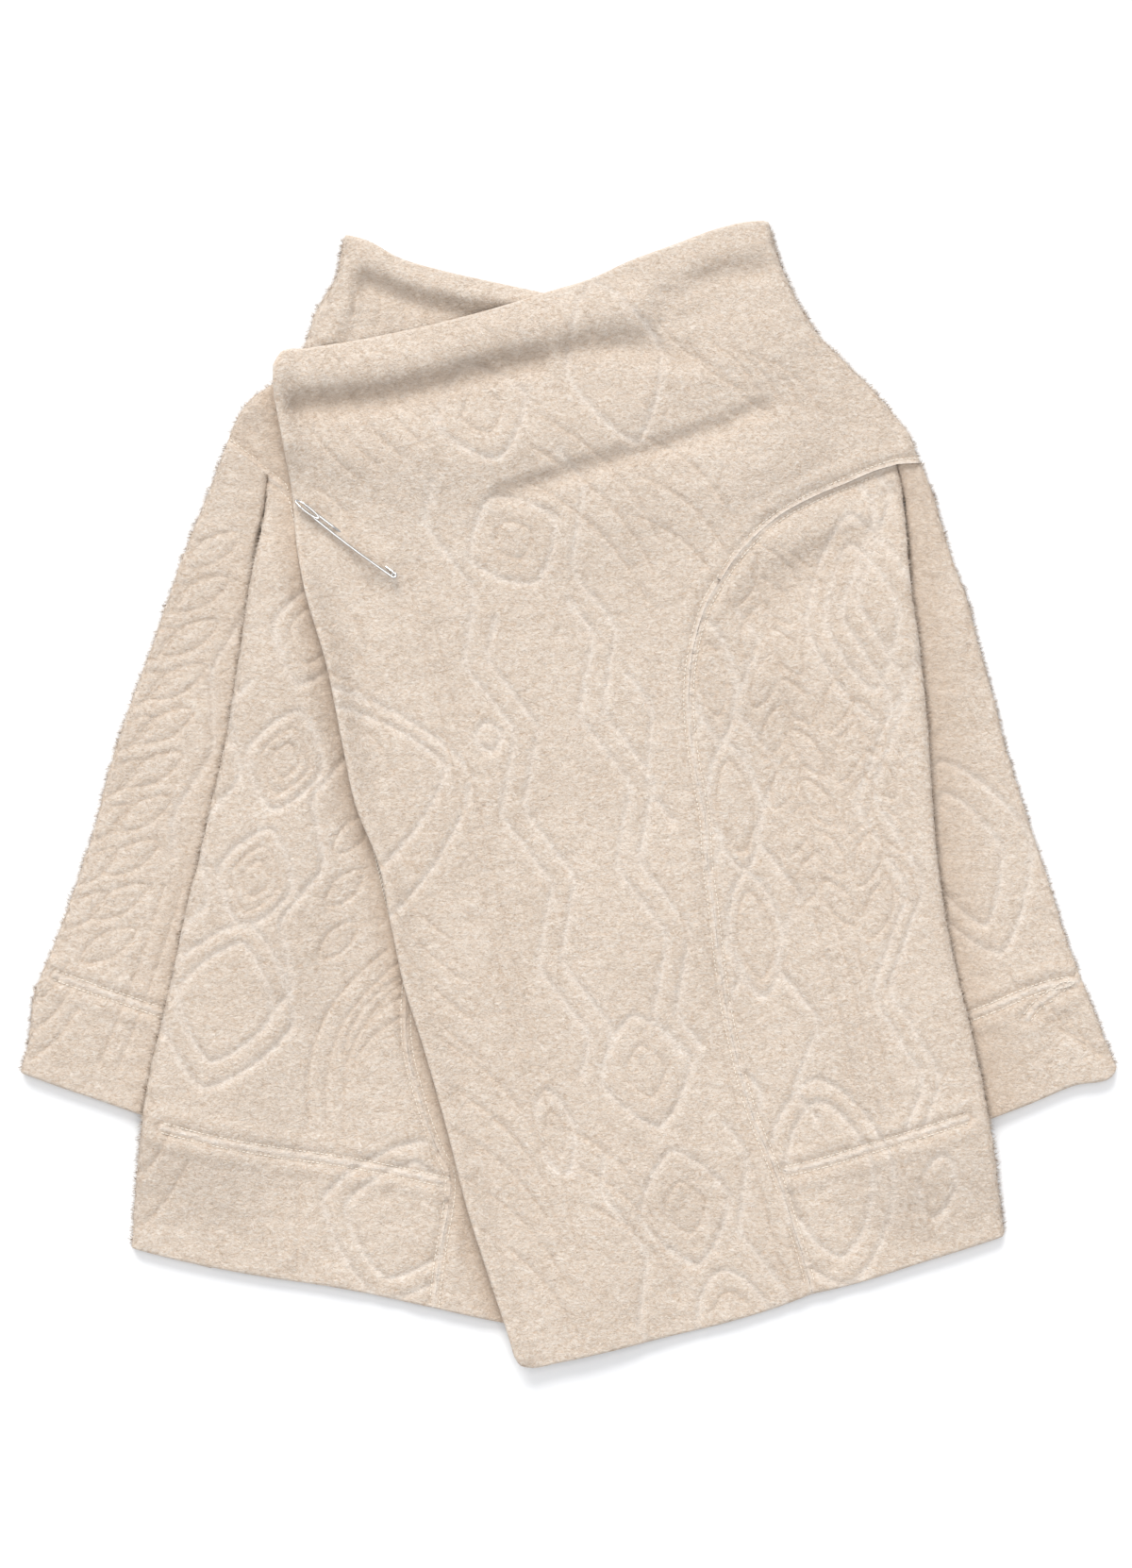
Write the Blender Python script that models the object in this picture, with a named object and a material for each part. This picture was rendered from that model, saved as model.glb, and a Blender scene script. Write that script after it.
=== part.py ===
"""Raglan wrap cardigan of brushed plush, lying flat on its back and closed with a kilt pin.

Lengths in this file are millimetres until make_object turns them into metres. X runs to the
right and Y up, seen from above, and Z runs up from the surface that the garment lies on.
"Upper" is the front that lies on top, "under" the one it is wrapped over.
"""

import math

import bpy
import numpy as np
from mathutils.geometry import delaunay_2d_cdt

for old in list(bpy.data.objects):
    bpy.data.objects.remove(old, do_unlink=True)

# ---------------------------------------------------------------- driving sizes

WALL = 4.0  # thickness of the brushed cloth
LAYER_GAP = 1.0  # air between two layers that lie on each other
SEAM_GAP = 0.3  # between two pieces sewn together
PITCH = WALL + LAYER_GAP
SLEEVE_THICKNESS = 2 * WALL + LAYER_GAP
SLEEVE_LIFT = SLEEVE_THICKNESS + LAYER_GAP  # how far a hidden sleeve lifts the body

RIM_INSET = 1.5  # roundness of a free edge
FOLD_INSET = 6.0  # roundness of a fold, measured in plan
SLEEVE_FOLD_INSET = 4.4
INNER_FOLD = 0.8  # least roundness of a fold's inner skin
SIDE_WRAP = 50.0  # a side panel's width on the back
SHOULDER_WRAP = 15.0  # a front's width on the back, behind the shoulder
LIFT_MARGIN = 4.0  # how far the cloth stays level beside a hidden sleeve
DRAPE = 70.0  # length of the slope after that
STEP_MARGIN = 8.0  # the same two beyond the hidden front edge
STEP_DRAPE = 70.0
HEM_DEPTH = 86.0  # turned-up hem on the side panels

GROOVE_DEPTH = 1.4
GROOVE_HALF_WIDTH = 3.0
STITCH_DEPTH = 1.1
SEAM_RIDGE = 1.0
SEAM_RIDGE_WIDTH = 5.0

EDGE_STEP = 14.0  # between points along a panel's edge
CURVE_STEP = 2.0  # between points of an edge's own curve
CREST_STEP = 8.0  # between points of a curve that only heights are taken from
STITCH_STEP = 20.0
LATTICE = 17.0  # between inner points where the cloth is bent
FOLD_ROWS = 4
WRAP_STEP = 25.0  # between rows of a fold's part on the back
GROOVE_CLEAR = 4.0  # between a groove's shoulder and the nearest lattice point
EDGE_CLEAR = 2.5  # between a groove's shoulder and a panel's edge
LATTICE_CLEAR = 0.6 * LATTICE  # between a panel's edge and the nearest lattice point
HOLE_CLEAR = 0.5 * LATTICE  # the same beside a hole
PARALLEL = 0.2  # sine of the angle below which two lines don't cross

# The whole model is moved by this much, so that its box is centred on the origin.
CENTRE = (0.85, -1.6)

# ---------------------------------------------------------------- outlines, seen from above
# Each row is a point's x and y. Edges run down the photo or from left to right.

FREE_EDGE = [
    (-200, 291), (-200, 277), (-194, 240), (-188, 204), (-185, 172), (-179, 139),
    (-164, 87), (-153, 32), (-144, -10), (-129, -48), (-120, -91), (-111, -133),
    (-99, -171), (-81, -234), (-68, -285), (-51, -338), (-41, -368), (-36, -385),
]
UPPER_HEM = [
    (-36, -385), (-32, -391), (-25, -393), (-6, -390), (31, -382), (68, -373), (106, -364),
    (143, -353), (168, -343.5),
]
SIDE_UPPER_HEM = [(168, -343.5), (194, -337.5), (240, -323), (272, -313), (299.5, -304)]
RAGLAN_UPPER = [
    (242, 225), (226, 224), (210.5, 219.5), (193, 212), (178, 206), (161, 198), (146, 189.5),
    (131, 177), (119, 165), (106.5, 147), (96, 130), (89, 109.5), (84.5, 87), (83, 63),
    (84.5, 39), (88, 15), (94, -17), (96, -49), (100, -79), (104, -114), (109, -148.5),
    (116, -181), (125, -215), (135, -241), (142, -258), (148, -275), (155, -297.5),
    (162, -319.5), (168, -343.5),
]
RAGLAN_UPPER_SPLIT = 1  # the row where the sleeve ends and the side panel starts
SHOULDER_UPPER = [
    (242, 225), (239, 232), (233, 247), (223, 259), (210.5, 274), (193, 291.5),
    (173.5, 311), (158.5, 334), (151, 350), (144, 366), (138, 390),
]
COLLAR_UPPER = [
    (138, 390), (122, 389), (103, 384.5), (73, 373.5), (43, 362.5),
    (15.5, 350), (-14, 341), (-55, 328.5), (-105, 316), (-142, 308.5), (-179, 302.5),
    (-194, 300.5), (-200, 291),
]
SIDE_UPPER_FOLD = [
    (226, 224), (229.5, 207), (231.5, 183.5), (234.5, 143), (240, 104), (245.5, 55),
    (249, 6), (252, -36), (257.5, -78), (264, -114), (273.5, -153), (283, -195),
    (289, -227), (294.5, -265), (299.5, -304),
]
SLEEVE_LEFT_OUTER = [
    (242, 225), (248, 211.5), (255.5, 187), (263, 162), (273, 135), (283, 97), (293, 61.5),
    (301.5, 26), (311, -3.5), (320.5, -33), (332, -68), (342, -100.5), (352, -127),
    (362, -152), (371, -176), (376.5, -189),
]
SLEEVE_LEFT_CUFF = [(243, -241), (288, -224.5), (317, -213.5), (347, -201), (374, -193.5), (376.5, -189)]
SLEEVE_LEFT_INNER = [
    (226, 224), (230.3, 207), (232.3, 183.5), (234.5, 150), (231, 115), (221, 75), (211, 30),
    (205, -10), (204, -50), (207, -90), (214, -130), (223, -170), (233, -208), (243, -241),
]
SLEEVE_RIGHT_OUTER = [
    (-233, 239), (-239, 222), (-249, 196.5), (-259, 172), (-271, 139), (-283.5, 102),
    (-296.5, 67), (-309, 30), (-328, -39), (-351, -104), (-366, -143), (-368.5, -169),
    (-374.5, -192),
]
SLEEVE_RIGHT_CUFF = [(-374.5, -192), (-341, -204), (-326, -209), (-290, -221.5), (-245, -236)]
SLEEVE_RIGHT_INNER = [
    (-205, 217), (-207.8, 191.5), (-212.4, 168.5), (-213, 145), (-207, 110), (-201, 75),
    (-198, 30), (-200, -10), (-205, -50), (-211, -90), (-218, -130), (-228, -170),
    (-237, -208), (-245, -236),
]
SIDE_UNDER_FOLD = [
    (-205, 217), (-207, 191.5), (-211.5, 168.5), (-216.5, 142), (-222, 105), (-226, 79),
    (-233, 35), (-242.5, -6), (-251.5, -46), (-259, -75), (-265, -104), (-273, -141),
    (-281.5, -176), (-289, -215), (-292.5, -244), (-296, -280), (-298.5, -312),
]
SIDE_UNDER_HEM = [(-298.5, -312), (-272, -319), (-218, -330), (-153, -340), (-91, -353)]
UNDER_HEM = [(-91, -353), (-46, -363), (5, -372)]
RAGLAN_UNDER = [
    (-233, 239), (-216.5, 226.5), (-205, 217), (-194, 208), (-176, 194), (-153.5, 180),
    (-131, 162), (-112.5, 143), (-98, 120), (-88.5, 91), (-84.5, 61), (-88, 15), (-94, -26),
    (-100, -72), (-106, -111), (-110, -143), (-109, -176), (-101, -208), (-90, -241),
    (-80, -262), (-81, -283), (-85, -306), (-88.5, -330), (-91, -353),
]
RAGLAN_UNDER_SPLIT = 2
UNDER_EDGE = [(5, -372), (40, -190), (90, 70), (129, 293)]
UNDER_COLLAR = [
    (129, 293), (100, 310), (60, 324), (25, 333), (-14, 341), (-51, 349), (-86.5, 357),
    (-116, 366), (-136, 377), (-152, 382),
]
SHOULDER_UNDER = [
    (-152, 382), (-155, 367), (-158, 353), (-167, 338), (-174, 323), (-179.5, 306.5),
    (-190.5, 291), (-201.5, 280), (-216.5, 269), (-226, 256), (-233, 239),
]
BACK_COLLAR = [(113, 372), (60, 343), (0, 322), (-45, 326), (-90, 343), (-126, 366)]
BACK_HEM = [(-231, -322), (-120, -338), (0, -345), (120, -338), (229, -318)]

# The lower part of each sleeve, which lifts the body that lies over it.
LIFT_LEFT_TOP = 150.0
LIFT_RIGHT_TOP = 140.0

# ---------------------------------------------------------------- soft rolls and hollows
ROLLS_FROM = 150.0  # above this the upper front's yoke and collar aren't flat
COLLAR_FROM = 310.0  # above this the under front's collar isn't flat
# A row is a roll: its half width, its height and the points of its crest.

UPPER_ROLLS = [
    (15, 5.0, [(-184, 291), (-140, 298), (-100, 306), (-50, 319), (-12, 331), (15, 340), (44, 352)]),
    (17, 4.0, [(44, 352), (78, 364), (105, 374), (126, 380)]),
    (36, 5.5, [(-105, 232), (-60, 242), (-25, 252), (20, 264), (70, 280), (115, 300)]),
    (46, 3.0, [(-20, 190), (40, 202), (100, 218), (150, 240)]),
    (30, 3.0, [(-160, 215), (-130, 225), (-100, 236)]),
]
UNDER_ROLLS = [
    (15, 4.5, [(-139, 367), (-120, 356), (-95, 347), (-70, 341), (-50, 337)]),
    (13, 3.0, [(-144, 350), (-150, 332), (-160, 318)]),
]
SIDE_UPPER_ROLLS = [
    (26, 3.0, [(150, 168), (180, 184), (205, 192)]),
    (40, 3.0, [(150, 80), (170, 100), (200, 120)]),
]
PIN_ROLL = (18, 3.0)

# ---------------------------------------------------------------- cable pattern
# The pattern lies along each piece's grain. A grain has a start point and an angle in
# degrees: "down" runs along it and "across" to its right, seen from above.

GRAINS = {
    "front_upper": (-200.8, 296.7, 13.7),
    "side_under": (-190.0, 190.0, -15.5),
    "side_upper": (150.0, 190.0, 9.0),
    "sleeve_right": (-240.0, 230.0, -18.5),
    "sleeve_left": (245.0, 220.0, 17.5),
}

MOTIF_SIDES = 10
LEAF_SIDES = 6
DIAMOND = 1.25  # roundness of a motif: 1 is a straight-sided diamond, 2 an ellipse
LEAF = 1.6
INNER_RING = 0.55  # size of a motif's second ring
RIB_STEP = 26.0  # between points of a rib

# piece, down, across, length down, width across, extra turn, how many rings
DIAMONDS = [
    ("front_upper", 70, 130, 68, 64, 6, 2),
    ("front_upper", 60, 226, 96, 62, 2, 1),
    ("front_upper", 160, 130, 66, 64, 14, 2),
    ("front_upper", 534, 132, 78, 62, 0, 2),
    ("front_upper", 631, 136, 80, 62, 0, 2),
    ("side_under", 163, 43, 70, 52, 0, 2),
    ("side_under", 246, 45, 70, 52, 0, 2),
    ("side_under", 334, 48, 90, 70, 0, 1),
    ("side_upper", 78, 40, 102, 50, 0, 1),
    ("sleeve_left", 262, -54, 96, 52, 0, 1),
]
OVALS = [
    ("side_upper", 104, -68, 84, 30, 0, 1),
    ("side_upper", 194, -68, 86, 32, 0, 1),
    ("side_upper", 283, -68, 84, 32, 0, 1),
    ("side_upper", 476, -42, 62, 56, 0, 1),
    ("front_upper", 560, 66, 60, 26, 0, 1),
]
# piece, start down, start across, end down, end across, swing, how many bends
WAVES = [
    ("front_upper", 209, 105, 490, 105, -10.5, 5),
    ("front_upper", 209, 90, 490, 90, -10.5, 5),
    ("front_upper", 209, 157, 490, 157, 10.5, 5),
    ("front_upper", 209, 172, 490, 172, 10.5, 5),
    ("front_upper", 262, 12, 338, 12, 30, 1),
    ("front_upper", 248, 14, 370, 14, 42, 1),
]
# piece, start down, start across, end down, end across
RIBS = [
    ("front_upper", 160, 68, 500, 66),
    ("front_upper", 430, 204, 660, 214),
    ("front_upper", 160, 12, 208, 38),
    ("front_upper", 192, 12, 238, 37),
    ("front_upper", 445, 12, 500, 40),
    ("front_upper", 495, 12, 560, 44),
    ("front_upper", 531, 12, 600, 46),
    ("front_upper", 566, 12, 632, 46),
    ("front_upper", 60, 264, 120, 282),
    ("side_under", 300, 128, 400, 130),
    ("side_upper", 306, -24, 412, -15),
    ("side_upper", 306, 0, 410, 8),
    ("sleeve_left", 352, -42, 390, 16),
    ("sleeve_right", 80, -22, 330, -30),
]
# piece, first down, first across, step down, step across, how many, length, width, turn
LEAVES = [
    ("side_upper", 40, -36, 35, 1.8, 7, 31, 14, -26),
    ("side_upper", 58, -12, 35, 1.8, 7, 31, 14, 26),
    ("side_upper", 152, 14, 36, 1.4, 4, 32, 15, -26),
    ("side_upper", 168, 40, 36, 1.4, 3, 32, 14, 24),
    ("side_under", 200, 100, 36, 5, 3, 32, 15, -30),
    ("sleeve_right", 66, 16, 34, 2, 8, 36, 16, -40),
    ("sleeve_left", 96, 14, 40, 2, 3, 36, 15, 40),
]

# ---------------------------------------------------------------- kilt pin

WIRE = 1.8
PIN_CLASP_END = (-182.8, 195.3)
PIN_COIL = (-118.7, 146.5)
PIN_SPREAD = 2.8  # between the bar and the arm
PIN_BOW = 1.0  # how far the bar bows away from the arm
WIRE_STEP = 4.0  # between points of the arm
BAR_POINTS = 12
TURN_POINTS = 12  # in one turn of the coil
PIN_CREST_POINTS = 4  # of the cloth's roll over the hidden arm
PIN_DEPTH = 3.1  # the hidden arm's middle below the cloth's top, without its roll
COIL_TURNS = 1.5
CLASP_LENGTH = 20.0
CLASP_MIDDLE = 6.0  # of the clasp, from the pin's tip
CLASP_WIRE = 1.4
CLASP_POINTS = 20
CLASP_SPARE = 0.4  # of the clasp's width beyond the wires' middles
CLASP_DIP = 2.6  # of the clasp's end in front of the tips
TIP_BEND = 5.0  # the length that it dips over
ARM_BEND = 3.0  # length of the arm's bends at a hole
HOLE_LENGTH = 10.0
HOLE_WIDTH = 3.6
HOLES_ALONG = (0.40, 0.90)  # where the arm goes through the cloth, from clasp to coil

# ---------------------------------------------------------------- curves


def curve(rows, step=CURVE_STEP):
    """A smooth curve through a table's points, as points about one step apart."""
    points = np.array(rows, float)
    gaps = np.linalg.norm(np.diff(points, axis=0), axis=1)
    slopes = np.diff(points, axis=0) / gaps[:, None]
    tangents = np.vstack([slopes[:1], slopes, slopes[-1:]])
    before, after = np.r_[gaps[:1], gaps], np.r_[gaps, gaps[-1:]]
    tangent = (tangents[:-1] * after[:, None] + tangents[1:] * before[:, None]) / (before + after)[:, None]
    found = [points[:1]]
    for i, gap in enumerate(gaps):
        count = max(1, round(gap / step))
        t = (np.arange(1, count + 1) / count)[:, None]
        found.append(
            (2 * t**3 - 3 * t**2 + 1) * points[i]
            + (t**3 - 2 * t**2 + t) * gap * tangent[i]
            + (3 * t**2 - 2 * t**3) * points[i + 1]
            + (t**3 - t**2) * gap * tangent[i + 1]
        )
    return np.vstack(found)


def length_of(line):
    return float(np.linalg.norm(np.diff(line, axis=0), axis=1).sum())


def spread(line, count):
    """The same line as count equal stretches."""
    far = np.r_[0, np.cumsum(np.linalg.norm(np.diff(line, axis=0), axis=1))]
    at = np.linspace(0, far[-1], count + 1)
    return np.column_stack([np.interp(at, far, line[:, k]) for k in range(line.shape[1])])


def inward(line):
    """Unit normals to the left of travel, inwards on an outline drawn anticlockwise."""
    ahead = np.diff(line, axis=0)
    ahead /= np.linalg.norm(ahead, axis=1)[:, None]
    middle = ahead[:-1] + ahead[1:]
    along = np.vstack([ahead[:1], middle, ahead[-1:]])
    along /= np.linalg.norm(along, axis=1)[:, None]
    return np.column_stack([-along[:, 1], along[:, 0]])


def crossing(p, d, q, e):
    """Where the line from p along d meets the line from q along e."""
    turn = d[0] * e[1] - d[1] * e[0]
    if abs(turn) < PARALLEL * np.linalg.norm(d) * np.linalg.norm(e):
        return (p + q) / 2
    return p + d * (((q - p)[0] * e[1] - (q - p)[1] * e[0]) / turn)


def between(line, start, end):
    """The line cut or stretched so that it runs from start to end."""
    first, last = line[1] - line[0], line[-1] - line[-2]
    keep = [p for p in line[1:-1] if (p - start) @ first > 0 and (end - p) @ last > 0]
    return np.array([start, *keep, end])


def closed(ring):
    return np.vstack([ring, ring[:1]])


def distance(points, line):
    """Each point's distance to a line of points."""
    found = np.full(len(points), np.inf)
    for a, b in zip(line[:-1], line[1:]):
        run = b - a
        t = np.clip((points - a) @ run / max(run @ run, 1e-9), 0, 1)
        found = np.minimum(found, np.linalg.norm(points - a - t[:, None] * run, axis=1))
    return found


def inside(points, outline):
    """Whether each point is inside a closed outline."""
    x, y = points[:, 0], points[:, 1]
    found = np.zeros(len(points), bool)
    for (x0, y0), (x1, y1) in zip(outline, np.roll(outline, -1, axis=0)):
        if y0 != y1:
            crosses = (y0 > y) != (y1 > y)
            found ^= crosses & (x < (x1 - x0) * (y - y0) / (y1 - y0) + x0)
    return found


def smoothstep(t):
    t = np.clip(t, 0, 1)
    return t * t * (3 - 2 * t)


def bell(t):
    """1 at 0, falling softly to 0 at 1."""
    return 0.5 + 0.5 * np.cos(math.pi * np.clip(t, 0, 1))


# ---------------------------------------------------------------- how high the cloth lies


def below(rows, height):
    """The part of a curve that lies below a height in plan."""
    line = curve(rows, CREST_STEP)
    return line[line[:, 1] < height]


def lifting_outline(inner, cuff, outer, top, cuff_from_outer):
    cuff_line = curve(cuff, CREST_STEP)
    if cuff_from_outer:
        cuff_line = cuff_line[::-1]
    return np.vstack([below(inner, top), cuff_line[1:-1], below(outer, top)[::-1]])


LIFTING = [
    lifting_outline(SLEEVE_LEFT_INNER, SLEEVE_LEFT_CUFF, SLEEVE_LEFT_OUTER, LIFT_LEFT_TOP, False),
    lifting_outline(SLEEVE_RIGHT_INNER, SLEEVE_RIGHT_CUFF, SLEEVE_RIGHT_OUTER, LIFT_RIGHT_TOP, True),
]


def sleeve_distance(points):
    """Distance to the nearest hidden sleeve, below 0 inside it."""
    found = np.full(len(points), np.inf)
    for outline in LIFTING:
        away = distance(points, closed(outline))
        away[inside(points, outline)] *= -1
        found = np.minimum(found, away)
    return found


def lift(points):
    """Height of the body's underside: it lies on the surface, or on a hidden sleeve."""
    return SLEEVE_LIFT * (1 - smoothstep((sleeve_distance(points) - LIFT_MARGIN) / DRAPE))


def over_under(points):
    """1 where the upper front lies on the under front, falling to 0 beyond its hidden edge."""
    start, end = np.array(UNDER_EDGE[0], float), np.array(UNDER_EDGE[-1], float)
    along = (end - start) / np.linalg.norm(end - start)
    beyond = (points - start) @ np.array([along[1], -along[0]])
    return 1 - smoothstep((beyond - STEP_MARGIN) / STEP_DRAPE)


def rolls(points, table):
    height = np.zeros(len(points))
    for half_width, rise, crest in table:
        height += rise * bell(distance(points, curve(crest, CREST_STEP)) / half_width)
    return height


def seam_ridge(points, rows):
    return SEAM_RIDGE * bell(distance(points, curve(rows, CREST_STEP)) / SEAM_RIDGE_WIDTH)


def top_of_back(points):
    return lift(points) + WALL


def top_of_under(points):
    return lift(points) + PITCH + WALL


def top_of_upper(points):
    return lift(points) + PITCH + WALL + PITCH * over_under(points)


def top_of_front_under(points):
    return top_of_under(points) + rolls(points, UNDER_ROLLS)


def top_of_front_upper(points):
    pin_roll = PIN_ROLL[1] * bell(distance(points, pin_hidden_line()) / PIN_ROLL[0])
    ridge = seam_ridge(points, RAGLAN_UPPER)
    return top_of_upper(points) + rolls(points, UPPER_ROLLS) + pin_roll + ridge


def top_of_side_upper(points):
    return top_of_upper(points) + rolls(points, SIDE_UPPER_ROLLS) + seam_ridge(points, RAGLAN_UPPER)


def top_of_sleeve(points):
    return np.full(len(points), SLEEVE_THICKNESS)


# ---------------------------------------------------------------- pattern lines


def from_grain(piece, down, across):
    """A point given along and across a piece's grain, in plan."""
    x, y, angle = GRAINS[piece]
    a = math.radians(angle)
    return np.array([
        x + down * math.sin(a) + across * math.cos(a),
        y - down * math.cos(a) + across * math.sin(a),
    ])


def closed_motif(piece, down, across, length, width, turn, roundness, count):
    """A ring of points round a motif's middle."""
    t = math.radians(turn)
    ring = []
    for k in range(count + 1):
        a = 2 * math.pi * k / count
        u = length / 2 * math.copysign(abs(math.cos(a)) ** (2 / roundness), math.cos(a))
        v = width / 2 * math.copysign(abs(math.sin(a)) ** (2 / roundness), math.sin(a))
        ring.append(from_grain(
            piece,
            down + u * math.cos(t) - v * math.sin(t),
            across + u * math.sin(t) + v * math.cos(t),
        ))
    return np.array(ring)


def pattern_lines(piece):
    """Centre lines of the grooves pressed into a piece."""
    lines = []
    for table, roundness in ((DIAMONDS, DIAMOND), (OVALS, LEAF)):
        for name, down, across, length, width, turn, rings in table:
            for ring in range(rings if name == piece else 0):
                part = INNER_RING**ring
                lines.append(closed_motif(
                    piece, down, across, length * part, width * part, turn, roundness, MOTIF_SIDES
                ))
    for name, down, across, end_down, end_across, swing, bends in WAVES:
        if name == piece:
            count = bends * 4
            lines.append(np.array([
                from_grain(
                    piece,
                    down + (end_down - down) * k / count,
                    across + (end_across - across) * k / count + swing * math.sin(math.pi * k / 4),
                )
                for k in range(count + 1)
            ]))
    for name, down, across, end_down, end_across in RIBS:
        if name == piece:
            ends = np.array([from_grain(piece, down, across), from_grain(piece, end_down, end_across)])
            lines.append(spread(ends, max(1, round(length_of(ends) / RIB_STEP))))
    for name, down, across, step_down, step_across, count, length, width, turn in LEAVES:
        for k in range(count if name == piece else 0):
            leaf = closed_motif(
                piece, down + k * step_down, across + k * step_across, length, width, turn, LEAF, LEAF_SIDES
            )
            lines.append(leaf)
    return lines


def stitch_line(hem):
    """The row of stitches that holds a turned-up hem, one hem depth inside the edge."""
    line = curve(hem, STITCH_STEP)
    return line + HEM_DEPTH * inward(line)


# ---------------------------------------------------------------- panels


class Skin:
    """One surface of a piece: points found by key, and faces anticlockwise from outside."""

    def __init__(self):
        self.points = []
        self.index = {}
        self.faces = []

    def point(self, key, xyz):
        if key not in self.index:
            self.index[key] = len(self.points)
            self.points.append(tuple(float(c) for c in xyz))
        return self.index[key]

    def quad(self, a, b, c, d):
        self.faces += [(a, b, c), (a, c, d)]

    def open_edges(self):
        """Edges with one face, as key pairs in that face's order."""
        sides = set()
        for face in self.faces:
            sides.update(zip(face, face[1:] + face[:1]))
        keys = {i: key for key, i in self.index.items()}
        return [(keys[a], keys[b]) for a, b in sides if (b, a) not in sides]


class Outline:
    """A panel's edges in plan, anticlockwise. An edge is (points, kind), and its kind is
    rim for a free edge, seam for a sewn one, fold where the cloth goes round and joined for
    a sewn one that keeps its own points."""

    def __init__(self, edges, fold_inset=FOLD_INSET, wrap=0.0):
        insets = {"rim": RIM_INSET, "seam": SEAM_GAP / 2, "fold": fold_inset, "joined": SEAM_GAP / 2}
        self.kinds = [kind for _, kind in edges]
        self.curves = [points for points, _ in edges]
        self.insets = [insets[kind] for kind in self.kinds]
        self.wrap = wrap
        self.lines = [self.line(k, self.insets[k]) for k in range(len(edges))]
        self.counts = [len(line) - 1 for line in self.lines]

    def line(self, k, inset):
        """Edge k moved inwards, running between its neighbours' own lines."""
        last, after = k - 1, (k + 1) % len(self.curves)
        this = self.curves[k] + inset * inward(self.curves[k])
        before = self.curves[last] + self.insets[last] * inward(self.curves[last])
        behind = self.curves[after] + self.insets[after] * inward(self.curves[after])
        start = crossing(this[0], this[1] - this[0], before[-1], before[-1] - before[-2])
        end = crossing(this[-1], this[-1] - this[-2], behind[0], behind[1] - behind[0])
        cut = between(this, start, end)
        if self.kinds[k] == "joined":
            return cut
        return spread(cut, max(2, round(length_of(self.curves[k]) / EDGE_STEP)))

    def key(self, k, i):
        if i == self.counts[k]:
            return ((k + 1) % len(self.curves), 0)
        return (k, i)

    def ring(self):
        """The outline's keys and points, once round."""
        keys = [(k, i) for k in range(len(self.lines)) for i in range(self.counts[k])]
        return keys, np.array([self.lines[k][i] for k, i in keys])

    def bulge(self, key):
        """How far the wall's middle stands out of a rim at this point of the outline."""
        k, i = key
        out = -inward(self.lines[k])[i] if self.kinds[k] == "rim" else np.zeros(2)
        if i == 0 and self.kinds[k - 1] == "rim":
            out = out - inward(self.lines[k - 1])[-1]
        size = np.linalg.norm(out)
        return out * RIM_INSET / size if size > 0.5 else np.zeros(2)


def lattice(outline, busy):
    """Inner points for a panel, on a triangular lattice, where busy says they are needed."""
    low, high = outline.min(axis=0), outline.max(axis=0)
    row_step = LATTICE * math.sqrt(3) / 2
    points = np.array([
        (low[0] + (i - 0.5 * (j % 2)) * LATTICE, low[1] + j * row_step)
        for j in range(int((high[1] - low[1]) / row_step) + 1)
        for i in range(int((high[0] - low[0]) / LATTICE) + 2)
    ])
    points = points[inside(points, outline) & busy(points)]
    return points[distance(points, closed(outline)) > LATTICE_CLEAR]


def lifted(points):
    """Where the cloth slopes beside a hidden sleeve, and one lattice step more each way."""
    away = sleeve_distance(points)
    return (away > -LATTICE) & (away < LIFT_MARGIN + DRAPE + LATTICE)


def stepped(points):
    """Also where it slopes down beyond the hidden front edge."""
    raised = over_under(points)
    return lifted(points) | ((raised > 0.01) & (raised < 0.99))


def rolled(points):
    """Also the yoke and collar, with their rolls."""
    return stepped(points) | (points[:, 1] > ROLLS_FROM)


def groove_net(lines, outline, holes):
    """Points and joins for the grooves that lie well inside an outline and clear of its
    holes: a centre line and two shoulders each."""
    points, joins = [], []
    for line in lines:
        out = GROOVE_HALF_WIDTH * inward(line)
        if np.allclose(line[0], line[-1]):
            out[0] = out[-1] = (out[0] + out[-1]) / 2
        safe = inside(line, outline)
        for border in [outline, *holes]:
            safe &= distance(line, closed(border)) > GROOVE_HALF_WIDTH + EDGE_CLEAR
        for shift in (-1, 0, 1):
            row = line + shift * out
            for i in range(len(row) - 1):
                if safe[i] and safe[i + 1]:
                    points += [row[i], row[i + 1]]
                    joins.append((len(points) - 2, len(points) - 1))
    return np.array(points).reshape(-1, 2), joins


def groove_depth(points, lines, depth):
    deep = np.zeros(len(points))
    for line in lines:
        deep = np.maximum(deep, depth * (1 - distance(points, line) / GROOVE_HALF_WIDTH))
    return np.clip(deep, 0, None)


def add_patch(skin, name, keys, ring, inner, joins, height, holes=(), flip=False):
    """Fills an outline with triangles at the height that a function gives."""
    points, all_keys = [ring], list(keys)
    loops = [np.arange(len(ring))]
    for number, hole in enumerate(holes):
        loops.append(len(all_keys) + np.arange(len(hole)))
        all_keys += [("hole", number, i) for i in range(len(hole))]
        points.append(hole)
    fixed = len(all_keys)
    points = np.vstack([*points, inner]) if len(inner) else np.vstack(points)
    edges = [(int(a), int(b)) for loop in loops for a, b in zip(loop, np.roll(loop, -1))]
    edges += [(a + fixed, b + fixed) for a, b in joins]
    found = delaunay_2d_cdt([tuple(p) for p in points], edges, [], 0, 1e-4)
    places = np.array([tuple(v) for v in found[0]])
    heights = height(places)
    numbers = []
    for i, place in enumerate(places):
        names = [all_keys[o] for o in found[3][i] if o < fixed]
        key = names[0] if names else (name, i)
        numbers.append(skin.point(key, (*place, heights[i])))
    faces = [tuple(face) for face in found[2]]
    middles = np.array([places[list(face)].mean(axis=0) for face in faces])
    good = inside(middles, ring)
    for hole in holes:
        good &= ~inside(middles, hole)
    for face, keep in zip(faces, good):
        if keep:
            corners = [numbers[i] for i in face]
            skin.faces.append(tuple(corners[::-1] if flip else corners))


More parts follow.
